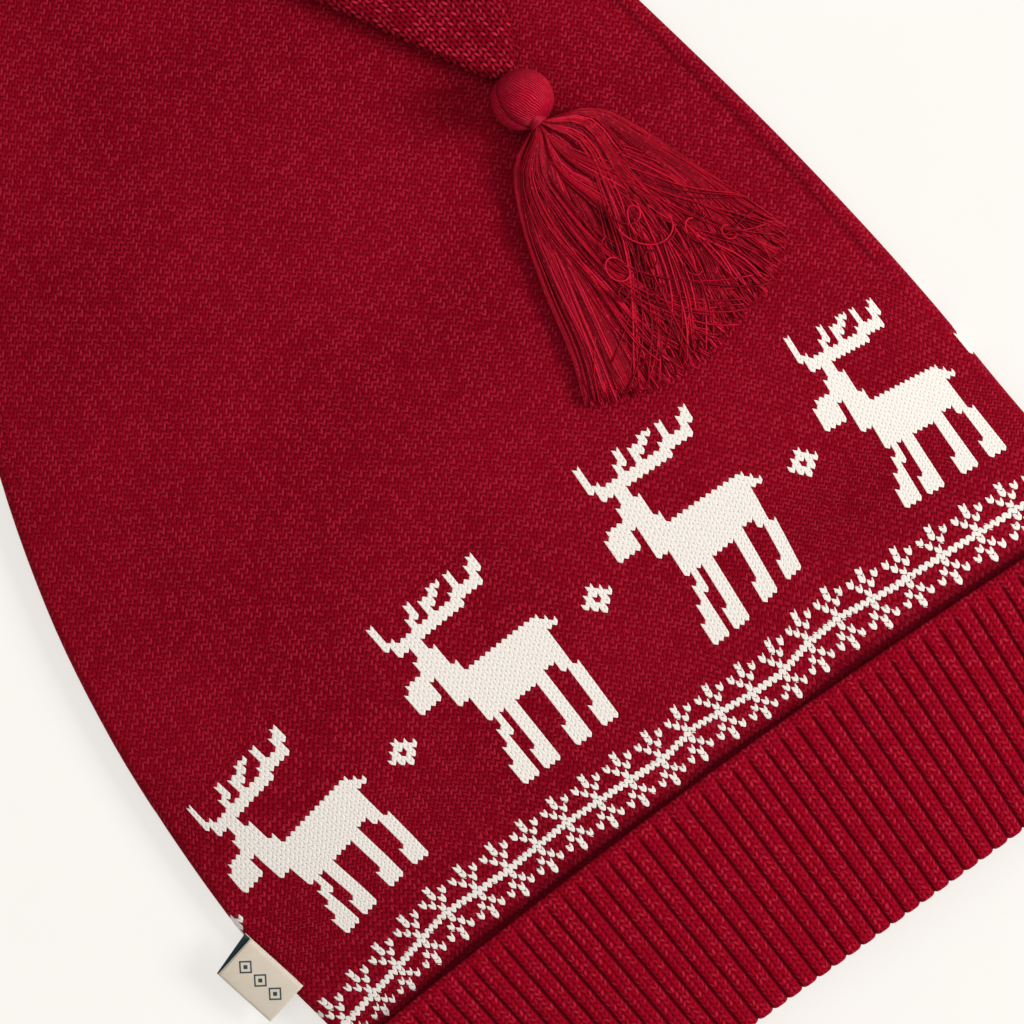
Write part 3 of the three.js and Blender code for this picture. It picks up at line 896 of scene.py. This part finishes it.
# Painted shade: the pale yarn turns grey-green in the hollows between its stitches.
pale_shade_ramp = knit.ramp(stitch_height + wobble * 0.1, -0.02, 0.34)
pale = knit.mix(pale_shade_ramp, srgb(112, 120, 102), srgb(229, 222, 215))
colour = knit.mix(pale_share, red, pale)
# Painted shade: the crown darkens beside the side seams and along the cuff's upper edge, where the cuff
# stands over it.
colour = knit.mix(seam_and_cuff_shade * 0.72 * (1 - pale_share), colour, srgb(56, 0, 8))
height = stitch_height * (1 - 0.62 * pale_share) + pale_share * 0.5 + fuzz * 0.3 - seam_and_cuff_shade * 0.8
crown.data.materials.append(
    knit.close(colour, 0.86 + fuzz * 0.12, height, 0.0003, **{"Specular IOR Level": 0.04})
)
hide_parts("crown")
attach(crown, "root")
print("crown finish done")

# %% [markdown]
# The cuff is a band of ribbing, turned up so that two layers meet at the hem. A bump could draw its
# ribs, but the hem and the upper edge show their relief from the side, so the mesh has them: 98 go
# round the band, each a rounded pair of stitches with a narrow groove beside it.

# %% Cuff sizes
CUFF_DEPTH = 50.8
CUFF_BOW = 4
CUFF_OVERLAP = 6
CUFF_PULL_IN = 6.5
CUFF_COURSE = 1.32
MOUTH_HEIGHT = 12.4
RIB_COUNT = 98
RIB_POINTS = 12
RIB_VALLEY = 1.35
RIB_SCALLOP = 0.7
PAIR_DIP = 0.16
PAIR_REACH = 0.12
HEM = -(CUFF_DEPTH - CUFF_BOW)
TOP_OUT = LAY_GAP + RIB_CREST
cuff_grid = []


def cuff_section(along):
    """The tube that the cuff lies round: the crown's, then narrower and higher towards the mouth."""
    along = np.asarray(along, float)
    lap = body_section(np.maximum(along, -CUFF_OVERLAP))
    share = np.clip((-CUFF_OVERLAP - along) / (CUFF_DEPTH - CUFF_OVERLAP), 0, 1)
    return {
        "middle": lap["middle"] * (1 - share),
        "half": lap["half"] - CUFF_PULL_IN * share,
        "bottom": lap["bottom"],
        "edge": lap["edge"],
        "swell": lap["swell"] + (MOUTH_HEIGHT - SIDE_EDGE - lap["swell"]) * share,
    }


def cuff_row(along, out, full=0.0, rise=0.0, scallop=0.0):
    """Adds a row, a distance outside the crown's face, with ribs as deep as full says."""
    section = cuff_section(along)
    _, length = measure_round(section)
    rib = np.arange(RIB_COUNT * RIB_POINTS + 1) / RIB_POINTS
    place = np.interp(np.linspace(0, length[-1], len(rib)), length, FINE_PLACES)
    groove = np.abs(2 * (rib % 1) - 1) ** 4
    pair = PAIR_DIP * (1 - np.clip(np.abs(rib % 1 - 0.5) / PAIR_REACH, 0, 1) ** 2)
    depth = out - full * ((RIB_CREST - RIB_VALLEY) * groove + pair)
    x_flat, z_flat = round_tube(section, place, 0)
    x_out, z_out = round_tube(section, place, -1)
    x = x_flat + (x_out - x_flat) * depth
    z = z_flat + (z_out - z_flat) * depth
    bow = CUFF_BOW * (1 - np.minimum(np.abs(x) / HALF_WIDTH, 1) ** 2) * rise
    y = float(along) + bow - scallop * (1 - groove)
    course = np.full(x.shape, -along / CUFF_COURSE)
    cuff_grid.append({"x": x, "y": y, "z": z, "rib": rib, "course": course})


print("ribs round the cuff:", RIB_COUNT, "each", round(2 * CAP_WIDTH / RIB_COUNT, 2), "mm wide")

# %% [markdown]
# The band's rows go as its cloth does: down the inner layer, round the hem, up the ribs in front, over
# the upper lip and back down behind it. Both ends meet, so the band is a closed shell too.

# %% Cuff rows
INNER_ROWS = (-15, -25, -35, -43)
FACE_ROWS = 16
FACE_LOW = HEM + 3
FACE_HIGH = -3.4
# Over the lip: the height along, the distance out, and how full the ribs still are.
LIP = [
    (-2.4, 2.7, 0.7), (-1.7, 2.66, 0.3), (-0.9, 2.5, 0.1),
    (-0.3, 2.1, 0.0), (0.0, 1.5, 0.0), (-0.2, 0.8, 0.0),
]
LAP_END = -CUFF_OVERLAP - 0.3

cuff_row(LAP_END, -KNIT_WALL)
for along in INNER_ROWS:
    cuff_row(along, -KNIT_WALL)
cuff_row(HEM + 0.6, -KNIT_WALL / 2)
cuff_row(HEM, 0.2, 0.1, 0, 0.2)
cuff_row(HEM - 0.1, 1.2, 0.4, 0, RIB_SCALLOP * 0.8)
cuff_row(HEM + 0.4, 2.1, 0.8, 0, RIB_SCALLOP)
cuff_row(HEM + 1.4, TOP_OUT - 0.1, 1, 0, RIB_SCALLOP)
for step in np.linspace(0, 1, FACE_ROWS):
    cuff_row(FACE_LOW + (FACE_HIGH - FACE_LOW) * step, TOP_OUT, 1, step ** 1.2, RIB_SCALLOP * (1 - step))
for along, out, full in LIP:
    cuff_row(along, out, full, 1)
cuff_row(-0.8, LAY_GAP, 0, 1)
cuff_row(LAP_END, LAY_GAP)
cuff_row(LAP_END, 0)
cuff_row(LAP_END, -KNIT_WALL)

cuff = lay_grid("ribbed_cuff", cuff_grid)
at_corner = corner_places(cuff, cuff_grid)
fill_uv(cuff, "stitches", stacked(cuff_grid, "rib")[at_corner], stacked(cuff_grid, "course")[at_corner])
weld(cuff)
print("cuff triangles:", triangles(cuff), "rows:", len(cuff_grid))

# %% [markdown]
# Each rib shows two columns of small Vs. They are too fine for the mesh, so the finish draws them, as
# it did on the crown, and it darkens the groove between the ribs where little light comes in.

# %% Cuff finish
ribbing = Finish("cuff_rib")
rib, course, _ = ribbing.parts(ribbing.uv("stitches"))
where = ribbing.place()
wobble = ribbing.noise(where, WOBBLE_SCALE, 1.0) - 0.5
fuzz = ribbing.noise(where, FUZZ_SCALE, 2.0)
patch = ribbing.noise(where, 18.0, 3.0)
across_rib = ribbing.frac(rib)
arm = abs(ribbing.frac(across_rib * 2 + wobble * 0.3) - 0.5) * 2
slant = course + 0.55 * arm + wobble * 0.5
chance = ribbing.scatter(rib * 4, slant)
stitch_height = ribbing.clamp(rounded(arm) * 0.4 + rounded(ribbing.frac(slant)) * 0.6)
groove = ribbing.ramp(abs(across_rib - 0.5), 0.34, 0.49) * ribbing.ramp(course, 0.9, 3.4)
body = ribbing.mix(patch, srgb(134, 2, 24), srgb(147, 4, 30))
# Painted shade: the red darkens in the hollows of the stitches.
colour = ribbing.mix(ribbing.ramp(stitch_height, -0.1, 0.72), srgb(92, 0, 14), body)
# Painted highlight: the tops of some stitches turn lighter.
painted_glint = ribbing.ramp(stitch_height, 0.6, 1.0) * ribbing.ramp(chance, 0.35, 1.0)
colour = ribbing.mix(painted_glint * 0.6, colour, srgb(186, 40, 62))
colour = ribbing.mix(groove * 0.62, colour, srgb(60, 0, 9))
height = stitch_height * (1 - groove) + fuzz * 0.3
cuff.data.materials.append(
    ribbing.close(colour, 0.86 + fuzz * 0.12, height, 0.00036, **{"Specular IOR Level": 0.04})
)
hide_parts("cuff")
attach(cuff, "root")
print("cuff finish done")

# %% [markdown]
# The tassel hangs at the tip: a ball that is wound with thread, a short wrapped neck, and a skirt of
# over a thousand loose threads. Its place follows from the tip of the folded crown, and the ball lies
# on the crown's front, so its height is worked out from the front's height there.

# %% Tassel sizes
BALL_RADIUS = 7.2
BALL_BELOW_TIP = 0.3
THREAD = 0.44
resting_y = CUFF_TO_FOLD - FOLD_TO_TIP - BALL_BELOW_TIP - BALL_RADIUS
resting_z = float(front_height(TIP_OFFSET, resting_y)) + LAY_GAP + BALL_RADIUS
ball_middle = np.array([TIP_OFFSET - 0.7, resting_y + 0.4, resting_z])
neck = ball_middle - [0.2, BALL_RADIUS * 0.84, BALL_RADIUS * 0.1]
random.seed(11)
print("middle of the ball, mm:", ball_middle.round(1))

# %% [markdown]
# The ball is wound with thread that runs from the tip to the neck. It starts as a sphere. Winding it
# with curves would cost many faces for lines that a bump shows as well, so they are left to the finish.
# The crease along it and its pinched lower end change the outline, so those are shaped in the mesh.

# %% Wound ball
CREASE_TURN = -2.42
CREASE_WIDTH = 0.17
CREASE_DEPTH = 0.1
PINCH_FROM = 0.55
PINCH_DEPTH = 0.25
bpy.ops.object.select_all(action="DESELECT")
bpy.ops.mesh.primitive_uv_sphere_add(segments=72, ring_count=36, radius=BALL_RADIUS / 1000)
ball = bpy.context.object
ball.name = "wound_ball"
points = np.array([vertex.co for vertex in ball.data.vertices]) * 1000
lengthways = points[:, 2] / BALL_RADIUS
from_crease = (np.arctan2(points[:, 1], points[:, 0]) - CREASE_TURN) / CREASE_WIDTH
crease = np.exp(-(from_crease ** 2)) * (1 - lengthways ** 2)
points *= 1 - CREASE_DEPTH * crease[:, None]
pinch = np.clip((-lengthways - PINCH_FROM) / (1 - PINCH_FROM), 0, 1)
points[:, :2] *= 1 - PINCH_DEPTH * pinch[:, None] ** 2
# The sphere's pole turns to point along the cap, towards the tip.
lying = np.stack([points[:, 0], points[:, 2] * 0.99, -points[:, 1]], axis=1) * 0.985
ball.data.vertices.foreach_set("co", to_scene(lying + ball_middle).reshape(-1))
ball.data.uv_layers[0].name = "wound"
bpy.ops.object.shade_smooth()
print("ball triangles:", triangles(ball))

# %% [markdown]
# The skirt hangs from the neck and fans out over the cap. A particle system could comb such threads,
# but it would be hard to steer, so the fan is a sheet first: seven lines run down it, each given at six
# places on its way, and every thread then follows the sheet by its share across and down.

# %% The skirt's fan
LOCK_DOWN = [0, 0.13, 0.3, 0.52, 0.78, 1.0]
FAN_SIDE = [-1, -0.75, -0.4, 0, 0.4, 0.75, 1]
FAN_STEPS = 41
FAN_X = [
    [-0.6, -9.6, -15.8, -20.6, -24.4, -28.4],
    [-0.4, -7.4, -12.0, -16.0, -20.0, -23.8],
    [-0.2, -3.2, -6.0, -8.8, -12.0, -14.8],
    [0, 0.4, -0.4, -1.4, -2.4, -3.0],
    [0.2, 4.6, 7.0, 8.2, 9.6, 10.5],
    [0.4, 8.8, 13.6, 17.0, 21.0, 24.0],
    [0.6, 12.0, 18.2, 23.2, 28.5, 32.5],
]
FAN_Y = [
    [0, -4.4, -15.5, -30.5, -46.5, -57.5],
    [0, -7.0, -18.0, -32.5, -48.5, -60.5],
    [0, -8.0, -19.0, -34.0, -51.0, -63.5],
    [0, -8.6, -20.0, -34.5, -52.0, -65.0],
    [0, -7.6, -19.0, -33.5, -50.5, -63.0],
    [0, -5.6, -16.0, -30.5, -47.0, -59.0],
    [0, -4.0, -13.5, -26.5, -41.0, -52.0],
]


def fan_surface(rows):
    """The fan as a fine grid: across it from side to side, down it from neck to end."""
    across = np.linspace(-1, 1, FAN_STEPS)
    down = np.linspace(0, 1, FAN_STEPS)
    keys = np.array([
        smooth_between({"along": FAN_SIDE, "v": [row[k] for row in rows]}, "v", across)
        for k in range(len(LOCK_DOWN))
    ])
    return np.stack([
        smooth_between({"along": LOCK_DOWN, "v": keys[:, i]}, "v", down) for i in range(FAN_STEPS)
    ])


def on_surface(surface, side, down):
    """The surface's value between its grid points."""
    i = np.clip((side + 1) / 2, 0, 1) * (FAN_STEPS - 1.001)
    k = np.clip(down, 0, 1) * (FAN_STEPS - 1.001)
    a = i.astype(int)
    b = k.astype(int)
    i = i - a
    k = k - b
    low = surface[a, b] * (1 - i) + surface[a + 1, b] * i
    high = surface[a, b + 1] * (1 - i) + surface[a + 1, b + 1] * i
    return low * (1 - k) + high * k


fan_x = fan_surface(FAN_X)
fan_y = fan_surface(FAN_Y)
print("the fan's width at its end, mm:", round(float(fan_x[-1, -1] - fan_x[0, -1]), 1))

# %% [markdown]
# Loose threads gather in locks, which wave and cross. Each row below is one lock: where it lies across
# the fan at the six places, how wide it is at its end, how high it lies, how many threads it has and
# how much they stray. A thread that is drawn by chance alone would look like a brush.

# %% Locks of the skirt
THREAD_POINTS = 20
UNDER_THREADS = 300
NECK_DROP = 1.4
STACK = 2.9
STRAY_FROM = 0.35
LOCK_SPREAD = 0.8
LOCK_EDGE = 1.9
DRIFT = 0.13
KINK = 0.03
# How much of the height over the cap is left on the way from the neck down to where threads lie.
HANG_DOWN = [0, 0.025, 0.06, 0.15, 0.3, 0.5, 1]
HANG = [1, 0.9, 0.75, 0.4, 0.1, 0, 0]
LOCKS = [
    ([-0.95, -0.97, -0.98, -0.97, -0.95, -0.93], 0.07, 0.45, 85, 0.15),
    ([-0.7, -0.78, -0.82, -0.78, -0.72, -0.72], 0.13, 0.8, 95, 0.2),
    ([-0.3, -0.5, -0.62, -0.6, -0.56, -0.5], 0.13, 1.0, 95, 0.25),
    ([-0.1, -0.3, -0.4, -0.42, -0.34, -0.24], 0.12, 0.7, 65, 0.4),
    ([0.1, -0.15, -0.1, -0.12, -0.2, -0.05], 0.14, 0.5, 65, 0.6),
    ([0.0, -0.22, 0.12, 0.3, 0.12, 0.1], 0.16, 0.95, 80, 0.7),
    ([0.3, 0.2, 0.42, 0.42, 0.24, 0.3], 0.14, 0.6, 60, 0.8),
    ([0.5, 0.42, 0.6, 0.72, 0.5, 0.45], 0.15, 0.9, 75, 0.6),
    ([0.75, 0.7, 0.72, 0.66, 0.68, 0.66], 0.12, 0.55, 65, 0.6),
    ([0.8, 0.88, 0.86, 0.88, 0.82, 0.84], 0.09, 0.85, 75, 0.35),
    ([0.95, 0.97, 0.97, 0.95, 0.96, 0.97], 0.05, 0.4, 50, 0.2),
    ([-0.4, -0.62, -0.5, -0.3, 0.05, 0.3], 0.22, 1.12, 26, 1.6),
    ([0.4, 0.5, 0.3, 0.1, -0.2, -0.4], 0.22, 1.1, 24, 1.6),
    ([0.7, 0.72, 0.5, 0.45, 0.3, 0.05], 0.2, 1.15, 22, 1.8),
    ([-0.1, 0.1, 0.4, 0.6, 0.75, 0.8], 0.2, 1.12, 22, 1.6),
    ([-0.5, -0.75, -0.72, -0.5, -0.3, -0.1], 0.14, 1.15, 16, 1.2),
]


def lock_thread(sides, width, layer, stray):
    """One thread of a lock: it keeps its place in the lock, and strays more towards its end."""
    table = {"along": LOCK_DOWN, "side": sides}
    place = max(-LOCK_EDGE, min(LOCK_EDGE, random.gauss(0, LOCK_SPREAD)))
    reach = random.uniform(0.9, 1.015) - 0.12 * min(stray, 1) * random.random() ** 2
    drift = stray * random.gauss(0, DRIFT)
    kink = stray * random.gauss(0, KINK)
    phase = random.uniform(0, 2 * math.pi)
    high = max(layer * (1 - 0.06 * place * place) + random.uniform(-0.12, 0.06), 0.02)
    share = np.linspace(0, 1, THREAD_POINTS)
    down = np.minimum(share * reach, 1)
    late = np.maximum(share - STRAY_FROM, 0) / (1 - STRAY_FROM)
    side = smooth_between(table, "side", down) + place * width * (0.35 + 0.65 * share)
    side += drift * late**1.4 + kink * np.sin(10 * share + phase) * late
    side = np.clip(side, -1, 1)
    x = neck[0] + on_surface(fan_x, side, down)
    y = neck[1] + on_surface(fan_y, side, down)
    ground = front_height(x, y) + LAY_GAP
    bulge = STACK * (1 - 0.35 * down) + 0.8 * np.sin(math.pi * down)
    stack = 0.3 + high * bulge + late * abs(drift)
    fall = np.maximum(neck[2] - NECK_DROP + 3.6 * min(high, 1) - ground - stack, 0)
    z = ground + stack + fall * np.interp(down, HANG_DOWN, HANG)
    return np.stack([x, y, z], axis=1)


print("threads in locks:", sum(lock[3] for lock in LOCKS), "under them:", UNDER_THREADS)

# %% [markdown]
# Some ends have sprung back into curls that lie over the others. They are few, so each is given one
# by one: across and down from the neck, its size, the angle it starts at and how far round it goes.

# %% Curled ends
CURL_RISE = 4.3
CURLS = [
    (-5.5, -36, 2.3, 0.4, 1.1), (-7.5, -41, 1.7, 2.5, 1.2), (-3.5, -33, 3.4, 1.2, 0.6),
    (5, -29, 5.2, 2.2, 0.72), (6.5, -31.5, 4.0, 1.8, 0.8), (4, -27, 2.6, 3.0, 0.9),
    (14, -39, 2.2, 0.6, 0.7), (17.5, -37, 1.1, 1.0, 1.2), (-1, -45, 1.8, 4.0, 0.7),
    (9, -46, 1.5, 2.0, 0.8), (20, -44, 1.3, 0.3, 0.9), (1, -38, 3.0, 5.0, 0.6),
]


def curl_path(across, down, size, turn, round_share):
    """The path of one curled end, which tightens as it goes round."""
    share = np.linspace(0, 1, THREAD_POINTS)
    angle = turn + share * 2 * math.pi * round_share
    x = neck[0] + across + size * (np.cos(angle) * (1 - 0.25 * share) + 0.6 * share)
    y = neck[1] + down + size * (np.sin(angle) * 1.15 * (1 - 0.2 * share) - 1.2 * share)
    z = front_height(x, y) + LAY_GAP + CURL_RISE + 0.4 * np.sin(5 * share)
    return np.stack([x, y, z], axis=1)


print("curls:", len(CURLS))

# %% [markdown]
# A thread is a curve with a round bevel. As curves the threads are easy to lay, and converting them
# all at once gives one mesh with few faces for each thread.

# %% Threads from curves
def make_threads(name, paths, thickness):
    """Thin round curves along the paths, made one mesh."""
    curve = bpy.data.curves.new(name, "CURVE")
    curve.dimensions = "3D"
    curve.bevel_depth = thickness / 2000
    curve.bevel_resolution = 0
    curve.use_fill_caps = True
    for path in paths:
        spline = curve.splines.new("POLY")
        spline.points.add(len(path) - 1)
        flat = np.concatenate([to_scene(path), np.ones((len(path), 1))], axis=1)
        spline.points.foreach_set("co", flat.reshape(-1))
    thing = bpy.data.objects.new(name, curve)
    bpy.context.collection.objects.link(thing)
    bpy.ops.object.select_all(action="DESELECT")
    thing.select_set(True)
    bpy.context.view_layer.objects.active = thing
    bpy.ops.object.convert(target="MESH")
    made = bpy.context.object
    bpy.ops.object.shade_smooth()
    return made


print("a thread is", THREAD, "mm thick and has", THREAD_POINTS, "points")

# %% [markdown]
# The skirt is a loose layer of threads at the bottom, the locks on it and the curls on top. Each thread
# gets a number by chance, so that the finish can make neighbours lighter or darker, as twisted thread
# looks when it turns in the light.

# %% Skirt of threads
paths = []
for k in range(UNDER_THREADS):
    side = random.uniform(-0.99, 0.99)
    paths.append(lock_thread([side] * len(LOCK_DOWN), 0.02, random.uniform(0.0, 0.4), 0.3))
for sides, width, layer, count, stray in LOCKS:
    for k in range(count):
        paths.append(lock_thread(sides, width, layer, stray))
for curl in CURLS:
    paths.append(curl_path(*curl))
skirt = make_threads("tassel_skirt", paths, THREAD)
per_thread = len(skirt.data.vertices) // len(paths)
tones = np.repeat([random.random() for path in paths], per_thread)
tone_layer = skirt.data.color_attributes.new("tone", "FLOAT_COLOR", "POINT")
tone_layer.data.foreach_set("color", np.repeat(tones[:, None], 4, axis=1).reshape(-1))
weld(skirt)
print("skirt threads:", len(paths), "triangles:", triangles(skirt))

# %% [markdown]
# A few turns of thread tie the skirt under the ball. A helix could follow that one thread, but its
# ends don't show, so five rings stand for it, each a little higher than the one before.

# %% Neck wrap
WRAP_TURNS = 5
WRAP_CORNERS = 24
WRAP_THREAD = 0.42
WRAP_PITCH = 0.34
WRAP_HALF_WIDTH = 2.1
WRAP_HALF_HEIGHT = 4.1
wrap_angle = 2 * math.pi * np.arange(WRAP_CORNERS + 1) / WRAP_CORNERS
wrap_paths = []
for turn in range(WRAP_TURNS):
    x = neck[0] + WRAP_HALF_WIDTH * np.cos(wrap_angle)
    y = neck[1] - 0.5 + WRAP_PITCH * turn + 0.25 * np.cos(wrap_angle)
    half_height = WRAP_HALF_HEIGHT + 0.12 * (turn % 2) + 0.12 * turn
    z = ball_middle[2] + half_height * np.sin(wrap_angle)
    wrap_paths.append(np.stack([x, y, z], axis=1))
wrap = make_threads("neck_wrap", wrap_paths, WRAP_THREAD)
print("wrap triangles:", triangles(wrap))

# %% [markdown]
# The thread is a shiny rayon or mercerised cotton, brighter than the knitting. On the ball it lies in
# lines from the tip to the neck with a slight twist, so the finish draws lines along the sphere's UV
# map. An image of thread would stretch at the sphere's poles, where the lines have to run together.

# %% Finish of the wound ball
WOUND_LINES = 70
WOUND_TWIST = 14
wound = Finish("wound_thread")
wound_uv = wound.uv("wound")
round_ball, along_ball, _ = wound.parts(wound_uv)
where = wound.place()
x_wire, _, z_wire = wound.parts(where)
waver = wound.noise(where, 260.0, 2.0) - 0.5
line_wire = wound.frac(round_ball * WOUND_LINES + along_ball * WOUND_TWIST + waver * 2.2)
streak_and_sheen = wound.noise(wound.stretch(wound_uv, (150.0, 7.0, 1.0)), 1.0, 3.0)
thread_height = rounded(line_wire)
shade = wound.noise(where, 500.0, 2.0)
crease_x, _, crease_z = to_scene(ball_middle)
from_crease = (x_wire - crease_x) * math.sin(CREASE_TURN) + (z_wire - crease_z) * math.cos(CREASE_TURN)
# Painted shade: the ball darkens along its crease, above its middle.
crease_shade = wound.ramp(abs(from_crease + waver * 0.0006), 0.0006, 0.0001)
crease_shade = crease_shade * wound.ramp(z_wire, crease_z, crease_z + 0.001)
# Painted shade and highlight: each wound thread is darker at its edges and lighter on top, mixed with a
# tone that changes along the threads.
colour = wound.mix(thread_height * 0.65 + streak_and_sheen * 0.35, srgb(136, 0, 25), srgb(196, 6, 47))
# Painted sheen: bright streaks run along the shiny thread.
colour = wound.mix(wound.ramp(streak_and_sheen, 0.5, 0.75) * 0.5, colour, srgb(222, 34, 70))
colour = wound.mix(crease_shade * (0.3 + shade * 0.5), colour, srgb(70, 0, 11))
ball.data.materials.append(
    wound.close(colour, 0.45, thread_height, 0.0004, **{"Specular IOR Level": 0.1})
)
print("ball finish done")

# %% [markdown]
# The skirt's threads are too thin to show their twist, but it makes them glitter. Their colour comes
# from each thread's own number, a noise that is stretched along the skirt, and small bright spots, which
# are painted glints of the twist. The tie is the same thread with less wear, so it is a little shinier,
# and its lighter lines are painted highlights.

# %% Finish of the skirt and its tie
strand = Finish("skirt_thread")
where = strand.place()
tone = strand.noise(strand.stretch(where, (900.0, 70.0, 500.0)), 1.0, 2.0)
twist_and_glint = strand.noise(strand.stretch(where, (1700.0, 1100.0, 1700.0)), 1.0, 1.0)
own, _, _ = strand.parts(strand.attribute("tone"))
shade = strand.clamp(tone * 0.75 + own * 0.85 - 0.3)
colour = strand.mix(shade, srgb(90, 0, 15), srgb(176, 6, 35))
colour = strand.mix(strand.ramp(own, 0.86, 0.9) * 0.5, colour, srgb(204, 28, 60))
# Painted glints: small bright spots where the twist of the thread catches the light.
colour = strand.mix(strand.ramp(twist_and_glint, 0.55, 0.8) * 0.5, colour, srgb(204, 38, 66))
skirt.data.materials.append(
    strand.close(colour, 0.55, twist_and_glint, 0.0001, **{"Specular IOR Level": 0.07})
)

tie = Finish("neck_tie")
tie_lines_and_highlight = tie.noise(tie.stretch(tie.place(), (300.0, 1800.0, 900.0)), 1.0, 1.0)
# Painted highlight: the tie is lighter along its thread lines.
colour = tie.mix(tie_lines_and_highlight, srgb(138, 4, 30), srgb(190, 32, 62))
wrap.data.materials.append(
    tie.close(colour, 0.4, tie_lines_and_highlight, 0.0001, **{"Specular IOR Level": 0.12})
)

for thing in (ball, skirt, wrap):
    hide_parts("tassel")
    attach(thing, "root")
print("tassel finishes done")

# %% [markdown]
# The label is a short woven tape, folded in two with both ends in the side seam. It could be a thin
# box, but the fold's round edge and the slit between its layers show from the side. So it is a strip
# of grid that is bent into its fold, and a Solidify modifier gives it the thickness of tape.

# %% Label
LABEL_WIDTH = 16
LABEL_LENGTH = 11.2
LABEL_TAPE = 0.5
LABEL_SLIT = 0.3
LABEL_DROOP = 2.6
LABEL_RIPPLE = 0.25
LABEL_SKEW = 1.7
LABEL_TURN = math.radians(192)
LABEL_PLACE = 25.5
LABEL_ROOT = SIDE_EDGE / 2 - LAY_GAP
LAYER_ROWS = 10
LAYER_END = 0.94
BEND_STEPS = 7
outward = np.array([math.cos(LABEL_TURN), math.sin(LABEL_TURN)])
widthways = np.array([math.sin(LABEL_TURN), -math.cos(LABEL_TURN)])
beside = body_section(LABEL_PLACE)
root = np.array([float(beside["middle"] - beside["half"]), LABEL_PLACE])
corners = [root - LABEL_ROOT * outward + half * LABEL_WIDTH * widthways for half in (-0.5, 0.5)]
label_z = max(float(front_height(*corner)) for corner in corners) + LAY_GAP
whole = 2 * LABEL_TAPE + LABEL_SLIT

# The share of the way out and the lift of each row: the lower layer, the bend and the upper layer.
layers = [(share, LABEL_TAPE / 2) for share in np.linspace(0, LAYER_END, LAYER_ROWS)]
for k in range(1, BEND_STEPS):
    angle = -math.pi / 2 + math.pi * k / BEND_STEPS
    lift = whole / 2 + (whole - LABEL_TAPE) / 2 * math.sin(angle)
    layers.append((LAYER_END + 0.055 * math.cos(angle), lift))
layers += [(share, whole - LABEL_TAPE / 2) for share in np.linspace(LAYER_END, 0, LAYER_ROWS)]

across_tape = np.linspace(-0.5, 0.5, 25)
label_rows = []
for number, (share, lift) in enumerate(layers):
    lower = number < len(layers) // 2
    out = share * LABEL_LENGTH - LABEL_ROOT
    side = across_tape * LABEL_WIDTH + (LABEL_SKEW - 1.4 * share) * lower
    ripple = LABEL_RIPPLE * np.sin(3 * across_tape + 1) * share
    label_rows.append({
        "x": root[0] + out * outward[0] + side * widthways[0],
        "y": root[1] + out * outward[1] + side * widthways[1],
        "z": label_z + lift - LABEL_DROOP * share**1.5 + ripple,
        "across": across_tape * LABEL_WIDTH,
        "run": np.full(across_tape.shape, share * LABEL_LENGTH * (1 if lower else -1)),
    })

label = lay_grid("side_label", label_rows)
at_corner = corner_places(label, label_rows)
fill_uv(label, "tape", stacked(label_rows, "across")[at_corner], stacked(label_rows, "run")[at_corner])
weld(label)
thickness = label.modifiers.new("tape", "SOLIDIFY")
thickness.thickness = LABEL_TAPE * 0.9 / 1000
thickness.offset = 0
bpy.ops.object.modifier_apply(modifier="tape")
print("label triangles:", triangles(label))

# %% [markdown]
# The tape is woven from pale yarn, with a fine weave and three small diamonds in dark green. The UV map
# holds millimetres along the tape, positive on the lower layer and negative on the upper one, so the
# diamonds are drawn on the upper layer only and the lower layer can be dark.

# %% Label finish
MOTIF_TILE = 4.5
MOTIF_RUN = -5.6
MOTIF_REACH = 6.7
tape = Finish("label_tape")
side, run, _ = tape.parts(tape.uv("tape"))
weft = abs(tape.frac(run * 4.5) - 0.5) * 2
warp = abs(tape.frac(side * 6.5) - 0.5) * 2
weave = weft * 0.6 + warp * 0.4
cloudy = tape.noise(tape.place(), 300.0, 3.0)
diamond = abs(tape.frac(side / MOTIF_TILE + 0.5) - 0.5) * MOTIF_TILE + abs(run - MOTIF_RUN)
inked = tape.ramp(abs(diamond - 1.75), 0.36, 0.16) + tape.ramp(diamond, 0.75, 0.55)
ink = tape.clamp(inked * tape.ramp(abs(side), MOTIF_REACH, MOTIF_REACH - 0.2))
colour = tape.mix(weave, srgb(222, 208, 188), srgb(238, 226, 210))
colour = tape.mix(cloudy * 0.35, colour, srgb(206, 190, 168))
colour = tape.mix(ink, colour, srgb(22, 62, 66))
colour = tape.mix(tape.ramp(run, 0.0, 0.2), colour, srgb(18, 52, 58))
label.data.materials.append(tape.close(colour, 0.8, weave, 0.00012))
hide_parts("label")
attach(label, "root")
print("label finish done")
